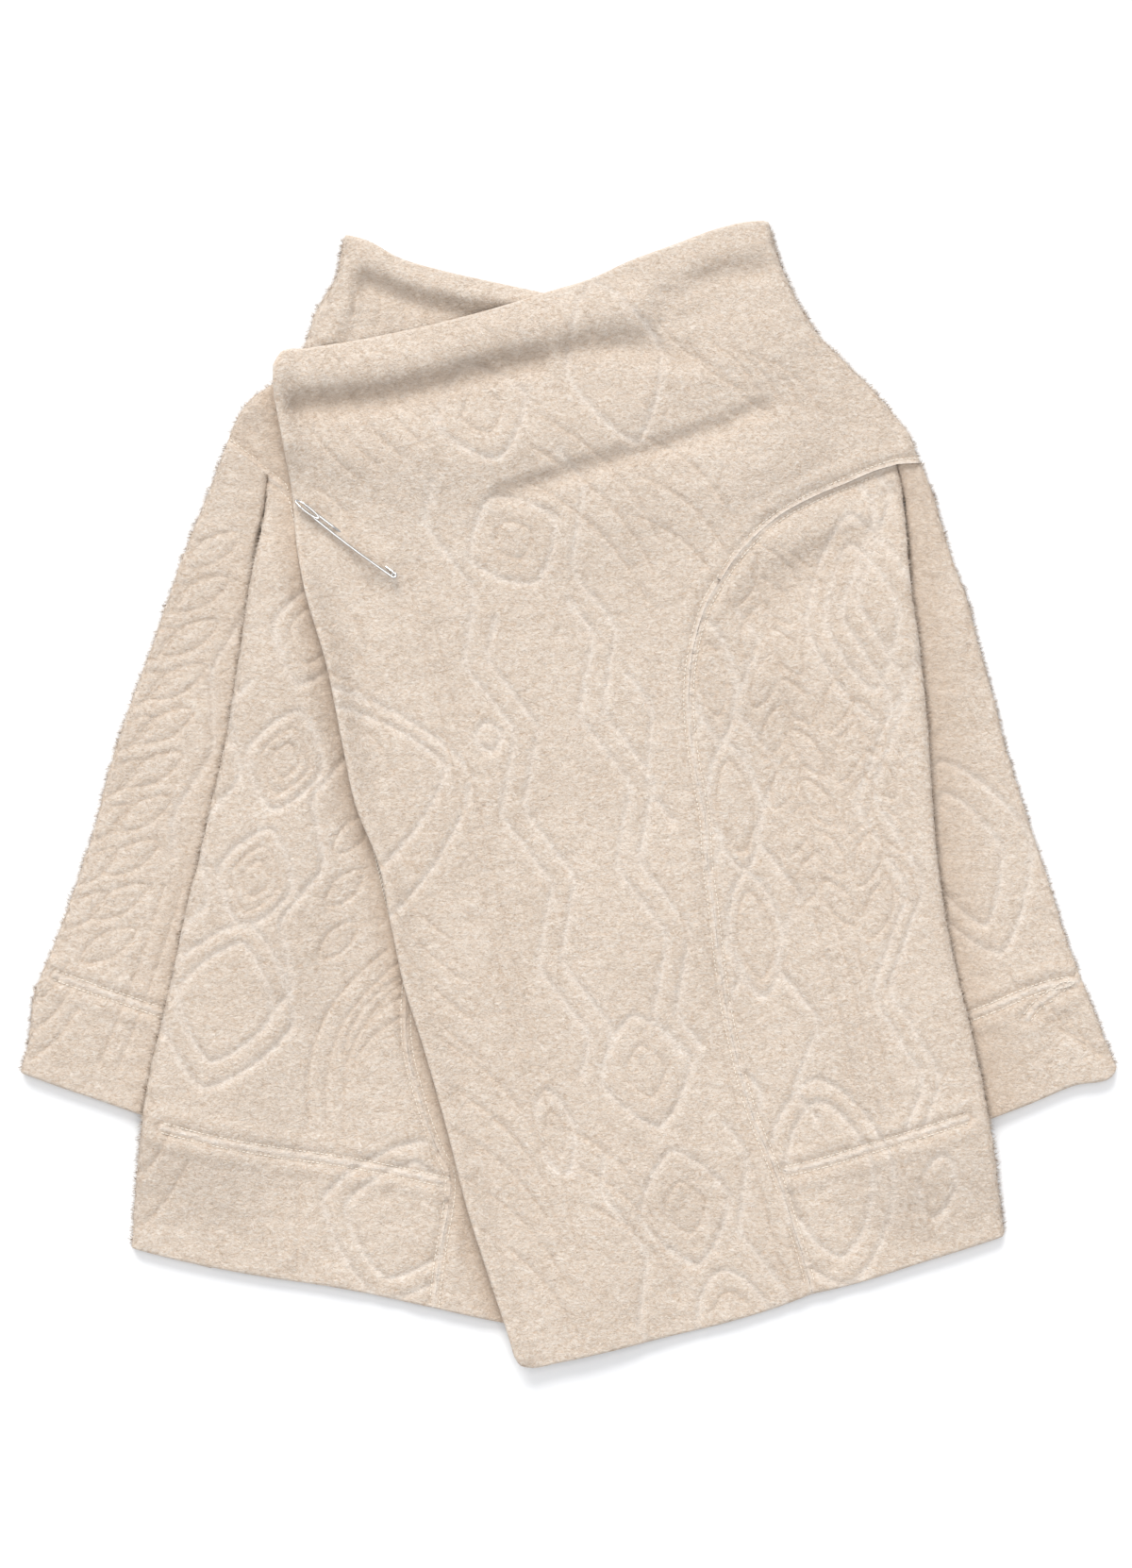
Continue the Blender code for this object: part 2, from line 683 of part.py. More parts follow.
def add_fold(skin, outline, k, top, bottom, wall, onward):
    """Takes the cloth round a fold and back below the panel. wall is 0 on the outer skin and
    the cloth's thickness on the inner one. onward gives the last row's keys on a tube, or is
    None where the cloth runs on to a seam on the back."""
    near = outline.lines[k]
    edge = outline.line(k, 0.0)
    reach = edge - near
    size = np.linalg.norm(reach, axis=1)[:, None]
    reach = reach * np.maximum(size - wall, INNER_FOLD) / size
    high, low = top(near) - wall, bottom(near) + wall
    rows = []
    for j in range(FOLD_ROWS + 1):
        turn = math.pi * j / FOLD_ROWS
        plan = near + reach * math.sin(turn)
        rows.append((plan, (high + low) / 2 + (high - low) / 2 * math.cos(turn)))
    if onward is None:
        seam = outline.line(k, outline.insets[k] + outline.wrap)
        flat_rows = max(1, round(outline.wrap / WRAP_STEP))
        for j in range(1, flat_rows + 1):
            plan = near + (seam - near) * j / flat_rows
            rows.append((plan, bottom(plan) + wall))
    last = len(rows) - 1
    numbers = []
    for j, (plan, heights) in enumerate(rows):
        line = []
        for i in range(len(plan)):
            key = ("fold", k, i, j)
            if j == 0:
                key = outline.key(k, i)
            elif j == last and onward is not None:
                key = onward(outline.key(k, i))
            line.append(skin.point(key, (*plan[i], heights[i])))
        numbers.append(line)
    for upper, lower in zip(numbers[:-1], numbers[1:]):
        for i in range(len(upper) - 1):
            skin.quad(upper[i], lower[i], lower[i + 1], upper[i + 1])


def join_skins(outer, inner, bulge):
    """One closed body: the outer skin, the inner skin turned over, and the edges between."""
    body = Skin()
    for key in outer.index:
        body.point(("outer", key), outer.points[outer.index[key]])
    for key in inner.index:
        body.point(("inner", key), inner.points[inner.index[key]])
    shift = len(outer.points)
    body.faces = list(outer.faces) + [tuple(i + shift for i in face[::-1]) for face in inner.faces]
    for start, end in outer.open_edges():
        loop = []
        for key in (end, start):
            a, b = outer.points[outer.index[key]], inner.points[inner.index[key]]
            out = bulge(key)
            middle = [(a[0] + b[0]) / 2 + out[0], (a[1] + b[1]) / 2 + out[1], (a[2] + b[2]) / 2]
            has_middle = np.linalg.norm(out) > 0
            loop.append((
                body.point(("outer", key), a),
                body.point(("middle", key), middle) if has_middle else None,
                body.point(("inner", key), b),
            ))
        (a, a_mid, a_in), (b, b_mid, b_in) = loop
        if a_mid is None and b_mid is None:
            body.quad(a, b, b_in, a_in)
        elif a_mid is None:
            body.faces += [(a, b, b_mid), (a, b_mid, a_in), (a_in, b_mid, b_in)]
        elif b_mid is None:
            body.faces += [(a, b, a_mid), (a_mid, b, b_in), (a_mid, b_in, a_in)]
        else:
            body.quad(a, b, b_mid, a_mid)
            body.quad(a_mid, b_mid, b_in, a_in)
    return body


def bulge_of(outline):
    """The rim's roundness at a key, also where a fold's end runs on from a rim."""

    def bulge(key):
        if key[0] == "hole":
            return np.zeros(2)
        if key[0] == "fold":
            _, k, i, _ = key
            if i == 0 and outline.kinds[k - 1] == "rim":
                return -RIM_INSET * inward(outline.lines[k - 1])[-1]
            after = (k + 1) % len(outline.kinds)
            if i == outline.counts[k] and outline.kinds[after] == "rim":
                return -RIM_INSET * inward(outline.lines[after])[0]
            return np.zeros(2)
        if key[0] == "below":
            return outline.bulge(key[1])
        return outline.bulge(key)

    return bulge


def carve(top, lines, stitches):
    """A piece's outer height: its own level, less its grooves and stitches."""

    def carved(points):
        pressed = groove_depth(points, lines, GROOVE_DEPTH)
        return top(points) - np.maximum(pressed, groove_depth(points, stitches, STITCH_DEPTH))

    return carved


def outer_net(grooves, ring, holes, inner_points):
    """Inner points of an outer skin: its grooves, and the lattice where there are none."""
    net, joins = groove_net(grooves, ring, holes)
    clear = np.ones(len(inner_points), bool)
    for line in grooves:
        clear &= distance(inner_points, line) > GROOVE_HALF_WIDTH + GROOVE_CLEAR
    return np.vstack([net, inner_points[clear]]), joins


def panel(outline, top, bottom, lines=(), stitches=(), holes=(), crest=(), busy=lifted):
    """A sheet of cloth whose outer skin carries the pattern over a plain inside. crest is a
    line of points that the lattice has to keep, along a narrow roll."""
    keys, ring = outline.ring()
    inner_points = lattice(ring, busy)
    if len(crest):
        inner_points = inner_points[distance(inner_points, crest) > HOLE_CLEAR]
        inner_points = np.vstack([inner_points, crest])
    for hole in holes:
        inner_points = inner_points[distance(inner_points, closed(hole)) > HOLE_CLEAR]
    outer_points, joins = outer_net([*lines, *stitches], ring, holes, inner_points)
    outer, inner = Skin(), Skin()
    add_patch(outer, "outer", keys, ring, outer_points, joins, carve(top, lines, stitches), holes)
    add_patch(inner, "inner", keys, ring, inner_points, [], lambda p: top(p) - WALL, holes)
    for k, kind in enumerate(outline.kinds):
        if kind == "fold":
            add_fold(outer, outline, k, top, bottom, 0.0, None)
            add_fold(inner, outline, k, top, bottom, WALL, None)
    return join_skins(outer, inner, bulge_of(outline))


def tube(outline, top, lines, stitches):
    """A sleeve laid flat: open at its rims, closed by its two folds."""
    keys, ring = outline.ring()
    no_points = np.empty((0, 2))
    outer_points, joins = outer_net([*lines, *stitches], ring, (), no_points)

    def floor(points):
        return np.zeros(len(points))

    outer, inner = Skin(), Skin()
    below_keys = [("below", key) for key in keys]
    add_patch(outer, "outer", keys, ring, outer_points, joins, carve(top, lines, stitches))
    add_patch(outer, "under", below_keys, ring, no_points, [], floor, flip=True)
    add_patch(inner, "inner", keys, ring, no_points, [], lambda p: top(p) - WALL)
    add_patch(inner, "inside", below_keys, ring, no_points, [], lambda p: floor(p) + WALL, flip=True)
    for k, kind in enumerate(outline.kinds):
        if kind == "fold":
            add_fold(outer, outline, k, top, floor, 0.0, lambda key: ("below", key))
            add_fold(inner, outline, k, top, floor, WALL, lambda key: ("below", key))
    return join_skins(outer, inner, bulge_of(outline))


# ---------------------------------------------------------------- the pieces


FRONT_UPPER = Outline(
    [
        (curve(FREE_EDGE), "rim"),
        (curve(UPPER_HEM), "rim"),
        (curve(RAGLAN_UPPER[RAGLAN_UPPER_SPLIT:])[::-1], "seam"),
        (curve(RAGLAN_UPPER[: RAGLAN_UPPER_SPLIT + 1])[::-1], "seam"),
        (curve(SHOULDER_UPPER), "fold"),
        (curve(COLLAR_UPPER), "rim"),
    ],
    wrap=SHOULDER_WRAP,
)
FRONT_UNDER = Outline(
    [
        (curve(SHOULDER_UNDER), "fold"),
        (curve(RAGLAN_UNDER[: RAGLAN_UNDER_SPLIT + 1]), "seam"),
        (curve(RAGLAN_UNDER[RAGLAN_UNDER_SPLIT:]), "seam"),
        (curve(UNDER_HEM), "rim"),
        (curve(UNDER_EDGE), "rim"),
        (curve(UNDER_COLLAR), "rim"),
    ],
    wrap=SHOULDER_WRAP,
)
SIDE_UPPER = Outline(
    [
        (curve(RAGLAN_UPPER[RAGLAN_UPPER_SPLIT:]), "seam"),
        (curve(SIDE_UPPER_HEM), "rim"),
        (curve(SIDE_UPPER_FOLD)[::-1], "fold"),
    ],
    wrap=SIDE_WRAP,
)
SIDE_UNDER = Outline(
    [
        (curve(SIDE_UNDER_FOLD), "fold"),
        (curve(SIDE_UNDER_HEM), "rim"),
        (curve(RAGLAN_UNDER[RAGLAN_UNDER_SPLIT:])[::-1], "seam"),
    ],
    wrap=SIDE_WRAP,
)
SLEEVE_LEFT = Outline(
    [
        (curve(SLEEVE_LEFT_INNER), "fold"),
        (curve(SLEEVE_LEFT_CUFF), "rim"),
        (curve(SLEEVE_LEFT_OUTER)[::-1], "fold"),
        (curve(RAGLAN_UPPER[: RAGLAN_UPPER_SPLIT + 1]), "seam"),
    ],
    fold_inset=SLEEVE_FOLD_INSET,
)
SLEEVE_RIGHT = Outline(
    [
        (curve(SLEEVE_RIGHT_OUTER), "fold"),
        (curve(SLEEVE_RIGHT_CUFF), "rim"),
        (curve(SLEEVE_RIGHT_INNER)[::-1], "fold"),
        (curve(RAGLAN_UNDER[: RAGLAN_UNDER_SPLIT + 1])[::-1], "seam"),
    ],
    fold_inset=SLEEVE_FOLD_INSET,
)


def wrap_seam(outline, k):
    """Where a fold's cloth ends on the back, as the back panel's own edge."""
    line = outline.line(k, outline.insets[k] + outline.wrap)
    return line + SEAM_GAP / 2 * inward(line)


def armhole(rows, split):
    """The raglan seam on the back: straight on from where the sleeve ends, past the cloth
    that the side panel folds back."""
    line = curve(rows[split:])
    onward = (line[1] - line[0]) / np.linalg.norm(line[1] - line[0])
    reach = 1.5 * SIDE_WRAP * onward
    return np.vstack([curve(rows[: split + 1])[:-1], line[:1], line[:1] + reach])


def make_back():
    outline = Outline([
        (wrap_seam(FRONT_UNDER, 0), "joined"),
        (armhole(RAGLAN_UNDER, RAGLAN_UNDER_SPLIT), "joined"),
        (wrap_seam(SIDE_UNDER, 0), "joined"),
        (curve(BACK_HEM), "rim"),
        (wrap_seam(SIDE_UPPER, 2), "joined"),
        (armhole(RAGLAN_UPPER, RAGLAN_UPPER_SPLIT)[::-1], "joined"),
        (wrap_seam(FRONT_UPPER, 4), "joined"),
        (curve(BACK_COLLAR), "rim"),
    ])
    return panel(outline, top_of_back, lift)


def make_front_under():
    return panel(
        FRONT_UNDER, top_of_front_under, lift, busy=lambda p: lifted(p) | (p[:, 1] > COLLAR_FROM)
    )


def make_front_upper():
    lines = pattern_lines("front_upper")
    crest = spread(pin_hidden_line(), PIN_CREST_POINTS)
    return panel(
        FRONT_UPPER, top_of_front_upper, lift, lines, holes=pin_holes(), crest=crest, busy=rolled
    )


def make_side(piece, outline, top, hem):
    return panel(outline, top, lift, pattern_lines(piece), [stitch_line(hem)], busy=stepped)


def make_sleeve(piece, outline, cuff):
    return tube(outline, top_of_sleeve, pattern_lines(piece), [stitch_line(cuff)])


# ---------------------------------------------------------------- kilt pin


def pin_frame():
    """The pin's start, its direction and its side direction, towards the arm."""
    start, end = np.array(PIN_CLASP_END), np.array(PIN_COIL)
    along = (end - start) / np.linalg.norm(end - start)
    return start, along, np.array([-along[1], along[0]]), float(np.linalg.norm(end - start))


def pin_place(along_mm, side_mm):
    start, along, side, _ = pin_frame()
    return start + along * along_mm + side * side_mm


def pin_hidden_line():
    length = pin_frame()[3]
    half = HOLE_LENGTH / 2
    first, last = HOLES_ALONG[0] * length + half, HOLES_ALONG[1] * length - half
    return np.array([pin_place(first, PIN_SPREAD), pin_place(last, PIN_SPREAD)])


def pin_holes():
    """Two slots in the upper front, as rings of points."""
    length, half, wide = pin_frame()[3], HOLE_LENGTH / 2, HOLE_WIDTH / 2
    corners = [(-half, -wide), (0, -wide), (half, -wide), (half + 1, 0)]
    corners += [(-a, -s) for a, s in corners]
    return [
        np.array([pin_place(part * length + a, PIN_SPREAD + s) for a, s in corners])
        for part in HOLES_ALONG
    ]


def pin_height():
    """Height of the bar's middle: above the highest cloth that the pin shows on."""
    length, near = pin_frame()[3], HOLES_ALONG[0] * pin_frame()[3] - HOLE_LENGTH / 2
    on_bar = [pin_place(length * t, 0) for t in np.linspace(0, 1, 9)]
    on_arm = [pin_place(near * t, PIN_SPREAD) for t in np.linspace(0, 1, 5)]
    return float(top_of_front_upper(np.array(on_bar + on_arm)).max()) + 2 * SEAM_GAP + WIRE / 2


def pin_wire_points():
    """Bar, coil and arm: the bar lies on the cloth, the arm goes under it between two holes."""
    _, along, side, length = pin_frame()
    high, half = pin_height(), HOLE_LENGTH / 2
    hidden = float(top_of_upper(np.array([pin_place(length / 2, 0)]))[0]) - PIN_DEPTH
    middle = (high + hidden) / 2
    coil_drop = (WIRE + SEAM_GAP) * COIL_TURNS
    points = []
    for t in np.linspace(1 / length, 1, BAR_POINTS):
        bow = -PIN_BOW * math.sin(math.pi * t)
        points.append((*pin_place(t * length, bow), high + coil_drop * t * t))
    centre = pin_place(length, PIN_SPREAD / 2)
    steps = round(TURN_POINTS * COIL_TURNS)
    for k in range(1, steps + 1):
        a = -math.pi / 2 + 2 * math.pi * k / TURN_POINTS
        place = centre + PIN_SPREAD / 2 * (along * math.cos(a) + side * math.sin(a))
        points.append((*place, high + coil_drop * (1 - k / steps)))
    near, far = (part * length for part in HOLES_ALONG)
    edge, bend = half + 1, half + 1 + ARM_BEND
    arm = [
        (far + edge, high), (far, middle), (far - edge, hidden), (far - bend, hidden),
        (near + bend, hidden), (near + edge, hidden), (near, middle),
        (near - edge, high), (near - bend, high), (ARM_BEND, high),
    ]
    points += [(*pin_place(along_mm, PIN_SPREAD), z) for along_mm, z in curve(arm, WIRE_STEP)]
    return points


def pin_clasp_points():
    """A narrow loop that lies on the bar and dips in front of the two tips."""
    over = pin_height() + (WIRE + CLASP_WIRE) / 2 + SEAM_GAP
    points = []
    for k in range(CLASP_POINTS):
        a = 2 * math.pi * k / CLASP_POINTS
        along_mm = CLASP_MIDDLE + CLASP_LENGTH / 2 * math.cos(a)
        side_mm = PIN_SPREAD / 2 + (PIN_SPREAD / 2 + CLASP_SPARE) * math.sin(a)
        past_end = along_mm - CLASP_MIDDLE + CLASP_LENGTH / 2
        dip = CLASP_DIP * (1 - float(smoothstep(past_end / TIP_BEND)))
        points.append((*pin_place(along_mm, side_mm), over - dip))
    return points


# ---------------------------------------------------------------- Blender objects


def material(name, colour, roughness, metallic):
    made = bpy.data.materials.new(name)
    made.use_nodes = True
    shader = made.node_tree.nodes["Principled BSDF"]
    shader.inputs["Base Color"].default_value = (*colour, 1)
    shader.inputs["Roughness"].default_value = roughness
    shader.inputs["Metallic"].default_value = metallic
    return made


def make_object(name, body, colour):
    """A mesh object from a skin whose points are in millimetres."""
    mesh = bpy.data.meshes.new(name)
    points = [((x - CENTRE[0]) / 1000, (y - CENTRE[1]) / 1000, z / 1000) for x, y, z in body.points]
    mesh.from_pydata(points, [], body.faces)
    mesh.update()
    mesh.materials.append(material(name, colour, 0.95, 0.0))
    bpy.context.collection.objects.link(bpy.data.objects.new(name, mesh))


def make_wire(name, points, diameter, closed=False):
    """A round wire along points given in millimetres."""
    path = bpy.data.curves.new(name, "CURVE")
    path.dimensions = "3D"
    path.bevel_depth = diameter / 2000
    path.bevel_resolution = 2
    path.use_fill_caps = True
    line = path.splines.new("POLY")
    line.points.add(len(points) - 1)
    for spot, (x, y, z) in zip(line.points, points):
        spot.co = ((x - CENTRE[0]) / 1000, (y - CENTRE[1]) / 1000, z / 1000, 1)
    line.use_cyclic_u = closed
    path.materials.append(material(name, SILVER, 0.3, 1.0))
    thing = bpy.data.objects.new(name, path)
    bpy.context.collection.objects.link(thing)


OATMEAL = (0.72, 0.63, 0.53)
OATMEAL_SHADE = (0.68, 0.59, 0.49)
SILVER = (0.80, 0.80, 0.78)

side_upper = make_side("side_upper", SIDE_UPPER, top_of_side_upper, SIDE_UPPER_HEM)
side_under = make_side("side_under", SIDE_UNDER, top_of_under, SIDE_UNDER_HEM)
make_object("back", make_back(), OATMEAL_SHADE)
make_object("front_under", make_front_under(), OATMEAL)
make_object("front_upper", make_front_upper(), OATMEAL)
make_object("side_under", side_under, OATMEAL)
make_object("side_upper", side_upper, OATMEAL)
make_object("sleeve_right", make_sleeve("sleeve_right", SLEEVE_RIGHT, SLEEVE_RIGHT_CUFF), OATMEAL_SHADE)
make_object("sleeve_left", make_sleeve("sleeve_left", SLEEVE_LEFT, SLEEVE_LEFT_CUFF), OATMEAL_SHADE)
make_wire("pin_wire", pin_wire_points(), WIRE)
make_wire("pin_clasp", pin_clasp_points(), CLASP_WIRE, closed=True)
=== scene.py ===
"""Looks of a raglan wrap cardigan of brushed plush, lying flat on its back.

Lengths in this file are millimetres until add_mesh turns them into metres, in the same frame
as the part's own source. X runs to the right and Y up, seen from above, and Z runs up from
the surface that the garment lies on. "Upper" is the front that lies on top.
"""

import math

import bpy
import numpy as np
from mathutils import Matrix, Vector
from mathutils.geometry import delaunay_2d_cdt


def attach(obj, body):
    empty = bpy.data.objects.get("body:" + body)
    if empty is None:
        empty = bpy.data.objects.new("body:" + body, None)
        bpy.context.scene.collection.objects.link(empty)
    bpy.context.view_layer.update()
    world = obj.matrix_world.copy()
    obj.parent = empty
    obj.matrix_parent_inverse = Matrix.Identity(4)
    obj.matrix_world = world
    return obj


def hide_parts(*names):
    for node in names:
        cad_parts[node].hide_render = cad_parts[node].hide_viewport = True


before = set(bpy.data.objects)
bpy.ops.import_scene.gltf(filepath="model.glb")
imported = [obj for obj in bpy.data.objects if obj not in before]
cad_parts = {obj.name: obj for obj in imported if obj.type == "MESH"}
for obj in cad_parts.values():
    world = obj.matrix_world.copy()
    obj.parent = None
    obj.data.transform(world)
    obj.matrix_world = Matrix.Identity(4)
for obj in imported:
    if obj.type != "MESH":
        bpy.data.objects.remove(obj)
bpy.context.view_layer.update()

# ---------------------------------------------------------------- driving sizes

WALL = 4.0  # thickness of the brushed cloth
LAYER_GAP = 1.0  # air between two layers that lie on each other
SEAM_GAP = 0.1  # between two pieces sewn together
PITCH = WALL + LAYER_GAP
SLEEVE_THICKNESS = 2 * WALL + LAYER_GAP
SLEEVE_LIFT = SLEEVE_THICKNESS + LAYER_GAP  # how far a hidden sleeve lifts the body

RIM_INSET = 2.0  # roundness of a free edge
FOLD_INSET = 6.0  # roundness of a fold, measured in plan
SLEEVE_FOLD_INSET = 4.4
INNER_FOLD = 0.8  # least roundness of a fold's inner skin
SIDE_WRAP = 50.0  # a side panel's width on the back
ARMHOLE_REACH = 1.5  # of that width, how far the seam on the back runs past it
SHOULDER_WRAP = 15.0  # a front's width on the back, behind the shoulder
LIFT_MARGIN = 4.0  # how far the cloth stays level beside a hidden sleeve
DRAPE = 70.0  # length of the slope after that
STEP_MARGIN = 8.0  # the same two beyond the hidden front edge
STEP_DRAPE = 70.0
HEM_DEPTH = 86.0  # turned-up hem on the side panels
CUFF_DEPTH = 71.0

FINE = 2.3  # lattice step of cloth that shows
COARSE = 9.0  # lattice step of cloth that is hidden
EDGE_STEP = 2.2  # between points along a panel's edge
CURVE_STEP = 2.0  # between points of an edge's own curve
CREST_STEP = 8.0  # between points of a curve that only heights are taken from
NET_STEP = 2.2  # between points along a crease
NET_HALF_WIDTH = 1.1
NET_CLEAR = 1.5  # between a crease's side row and a panel's edge
NET_SPACE = 0.5  # of a lattice step, between a side row and the lattice
EDGE_SPACE = 0.6  # the same between a panel's edge and the lattice
FOLD_ROWS = 12
RIM_ROWS = 6
WRAP_STEP = 8.0  # between rows of a fold's part on the back
CHUNK = 16  # stretches of a line that are measured at once

# The whole model is moved by this much, as in the part's source.
CENTRE = (0.85, -1.6)

FAR = 1e6
TINY = 1e-9
MERGE_DISTANCE = 1e-3
PARALLEL = 0.2  # sine of the angle below which two lines don't cross
NOISE_TABLE = 65521
NOISE_STRIDE = 7919
HIDDEN_MARGIN = 12.0  # how far the fine lattice runs on below what hides it

SWELL_SIZES = (85.0, 38.0)
SWELL_HEIGHTS = (1.4, 0.8)
SWELL_SEEDS = (11, 12)
SLEEVE_SWELL = 1.2
EDGE_ROLL = (22.0, 6.4)  # half width and rise of the free edge
PIN_CALM_START = 0.2
PIN_CALM = 45.0  # nearer to the pin than this the cloth lies as in the part's source

PIN_ROLL = (18, 3.0)  # half width and rise of the cloth over the hidden arm
YOKE_RISE = 4.0
YOKE_FROM = 170.0
YOKE_SLOPE = 70.0
CHANNEL = (4.4, 1.35)  # half width and depth of a wide pressed line
CREASE = (2.6, 0.95)
STRAND_POINTS = 9
WAVE_POINTS = 8  # along one bend
BEND_ROUND = 9  # how straight a bend's flanks are
BEND_HEIGHT = 0.9
RIB_BOW = 2.0
SEAM_REACH = 18.0
STITCH_ROW = 3.3  # between a seam and each of its two rows of stitches
STITCH_VALLEY = 1.9
STITCH_DEPTH = 1.1
STITCH_BAND = 0.5
SEAM_PALE = 1.1
# How much painted shade lies in the valleys of the stitch rows.
SEAM_PAINTED_SHADE = 1.1
SEWN_PILE = 0.6  # how much shorter the pile is on a band of stitches
STITCH_PILLOW = 0.8
PILLOW_MIDDLE = 10.0
PILLOW_WIDTH = 8.0

THREAD_WIDTH = 0.75
THREAD_LENGTH = 2.3
THREAD_PITCH = 3.0
THREAD_LIFT = 0.5
THREAD_SIDES = 5
# where along a stitch, and how thick there
THREAD_RINGS = ((-0.5, 0.35), (-0.36, 1.0), (0.36, 1.0), (0.5, 0.35))
# points of each raglan seam before its side panel starts
SIDE_UPPER_FROM = 4
SIDE_UNDER_FROM = 6

# size, rise and stretch of the plush's lumps
LUMPS = [
    (11.0, 0.36, (0.7, 1.0, 1.0)),
    (5.5, 0.34, (0.7, 1.0, 1.0)),
    (3.2, 0.22, (0.7, 1.0, 1.0)),
]
LUMP_SEED = 20
LUMPS_FROM = 0.5  # height where the lumps start, and how soon they are whole
LUMPS_SLOPE = 2.0
FACING_SLOPE = 0.4  # how far from upright cloth still shows its full tint
SHARP_ANGLE = 75.0

# tufts for each square millimetre, and their sizes
PILE_DENSITY = 0.8
PILE_FROM = 2.0  # lower than this the cloth has no tufts
PILE_LENGTH = (1.8, 3.4)
PILE_WIDTH = 0.45
PILE_WIDTH_RANGE = (0.6, 1.3)  # shares of that width
PILE_RISE = (0.03, 0.22)  # in radians
RIM_RISE = 0.8  # how much steeper the tufts stand on a rim
RIM_LENGTH = 0.7  # and how much longer they are
PILE_WAVE = 1.1
PILE_WAVE_SIZE = 4.0
PILE_SPREAD = 0.35
PILE_SEED = 40

# scale per metre, detail and distortion of each noise
CRINKLE_STRETCH = (0.5, 1.0, 1.0)
CRINKLE = (620.0, 3.0, 0.8)
CURLS = (260.0, 3.0, 0.6)
MOTTLE = (110.0, 3.0, 0.2)
CLOUD = (14.0, 2.0, 0.0)
PILE_STOPS = [
    (0.30, (0.51, 0.39, 0.29)), (0.43, (0.61, 0.505, 0.41)), (0.55, (0.67, 0.585, 0.495)),
    (0.72, (0.73, 0.67, 0.60)),
]
FLECK_STOPS = [
    (0.0, (0.50, 0.39, 0.29)), (0.25, (0.63, 0.53, 0.43)), (0.7, (0.70, 0.615, 0.53)),
    (1.0, (0.76, 0.695, 0.625)),
]
MOTTLE_STOPS = [(0.25, (0.91, 0.89, 0.87)), (0.75, (1.0, 1.0, 1.0))]
CLOUD_STOPS = [(0.3, (0.95, 0.94, 0.93)), (0.7, (1.0, 1.0, 1.0))]
THREAD_STOPS = [(0.35, (0.70, 0.63, 0.53)), (0.65, (0.85, 0.79, 0.70))]
METAL_STOPS = [(0.3, (0.62, 0.61, 0.59)), (0.7, (0.86, 0.85, 0.83))]
# distance in metres and strength of the bumps of mottle, curls and crinkle
PLUSH_BUMPS = [(0.0020, 0.5), (0.0016, 0.7), (0.0010, 0.8)]
PALE_TINT = (0.80, 0.76, 0.71)
PALE_SHARE = 0.2
# Painted shade: a darker tint mixed into the plush where creases, troughs, stitch valleys and edges that
# lie on the cloth fall into shade.
PAINTED_SHADE_TINT = (0.50, 0.38, 0.28)
PAINTED_SHADE_SHARE = 0.42
# How much painted shade lies in the thin creases.
CREASE_PAINTED_SHADE = 0.6
# How much painted shade a trough gets.
HOLLOW_PAINTED_SHADE = 0.13  # for each mm that a trough is deep

FLOOR_SIZE = 30.0  # in metres, as all of the rest here
FLOOR_DROP = 0.0002
FLOOR_COLOUR = (0.90, 0.90, 0.895)
CAMERA_HEIGHT = 3.0
VIEW_LENGTH = 1.0757  # height of the floor that the picture shows
CAMERA_PLACE = (-0.0015, 0.0071)
# name, kind, place, size and power of each light
LIGHTS = [
    ("key", "SUN", (-0.5, 2.6, 2.0), 0.6, 2.7),
    ("overhead", "AREA", (0.0, 0.0, 4.2), 3.0, 70.0),
]
WORLD_COLOUR = (0.93, 0.95, 1.0)
WORLD_STRENGTH = 0.6

# ---------------------------------------------------------------- outlines, seen from above
# Each row is a point's x and y. Edges run down the photo or from left to right.

FREE_EDGE = [
    (-200, 291), (-200, 277), (-194, 240), (-188, 204), (-185, 172), (-179, 139),
    (-164, 87), (-153, 32), (-144, -10), (-129, -48), (-120, -91), (-111, -133),
    (-99, -171), (-81, -234), (-68, -285), (-51, -338), (-41, -368), (-36, -385),
]
UPPER_HEM = [
    (-36, -385), (-32, -391), (-25, -393), (-6, -390), (31, -382), (68, -373), (106, -364),
    (143, -353), (168, -343.5),
]
SIDE_UPPER_HEM = [(168, -343.5), (194, -337.5), (240, -323), (272, -313), (299.5, -304)]
RAGLAN_UPPER = [
    (242, 225), (226, 224), (210.5, 219.5), (193, 212), (178, 206), (161, 198), (146, 189.5),
    (131, 177), (119, 165), (106.5, 147), (96, 130), (89, 109.5), (84.5, 87), (83, 63),
    (84.5, 39), (88, 15), (94, -17), (96, -49), (100, -79), (104, -114), (109, -148.5),
    (116, -181), (125, -215), (135, -241), (142, -258), (148, -275), (155, -297.5),
    (162, -319.5), (168, -343.5),
]
RAGLAN_UPPER_SPLIT = 1  # the row where the sleeve ends and the side panel starts
SHOULDER_UPPER = [
    (242, 225), (239, 232), (233, 247), (223, 259), (210.5, 274), (193, 291.5),
    (173.5, 311), (158.5, 334), (151, 350), (144, 366), (138, 390),
]
COLLAR_UPPER = [
    (138, 390), (122, 389), (103, 384.5), (73, 373.5), (43, 362.5),
    (15.5, 350), (-14, 341), (-55, 328.5), (-105, 316), (-142, 308.5), (-179, 302.5),
    (-194, 300.5), (-200, 291),
]
SIDE_UPPER_FOLD = [
    (226, 224), (229.5, 207), (231.5, 183.5), (234.5, 143), (240, 104), (245.5, 55),
    (249, 6), (252, -36), (257.5, -78), (264, -114), (273.5, -153), (283, -195),
    (289, -227), (294.5, -265), (299.5, -304),
]
SLEEVE_LEFT_OUTER = [
    (242, 225), (248, 211.5), (255.5, 187), (263, 162), (273, 135), (283, 97), (293, 61.5),
    (301.5, 26), (311, -3.5), (320.5, -33), (332, -68), (342, -100.5), (352, -127),
    (362, -152), (371, -176), (376.5, -189),
]
SLEEVE_LEFT_CUFF = [(243, -241), (288, -224.5), (317, -213.5), (347, -201), (374, -193.5), (376.5, -189)]
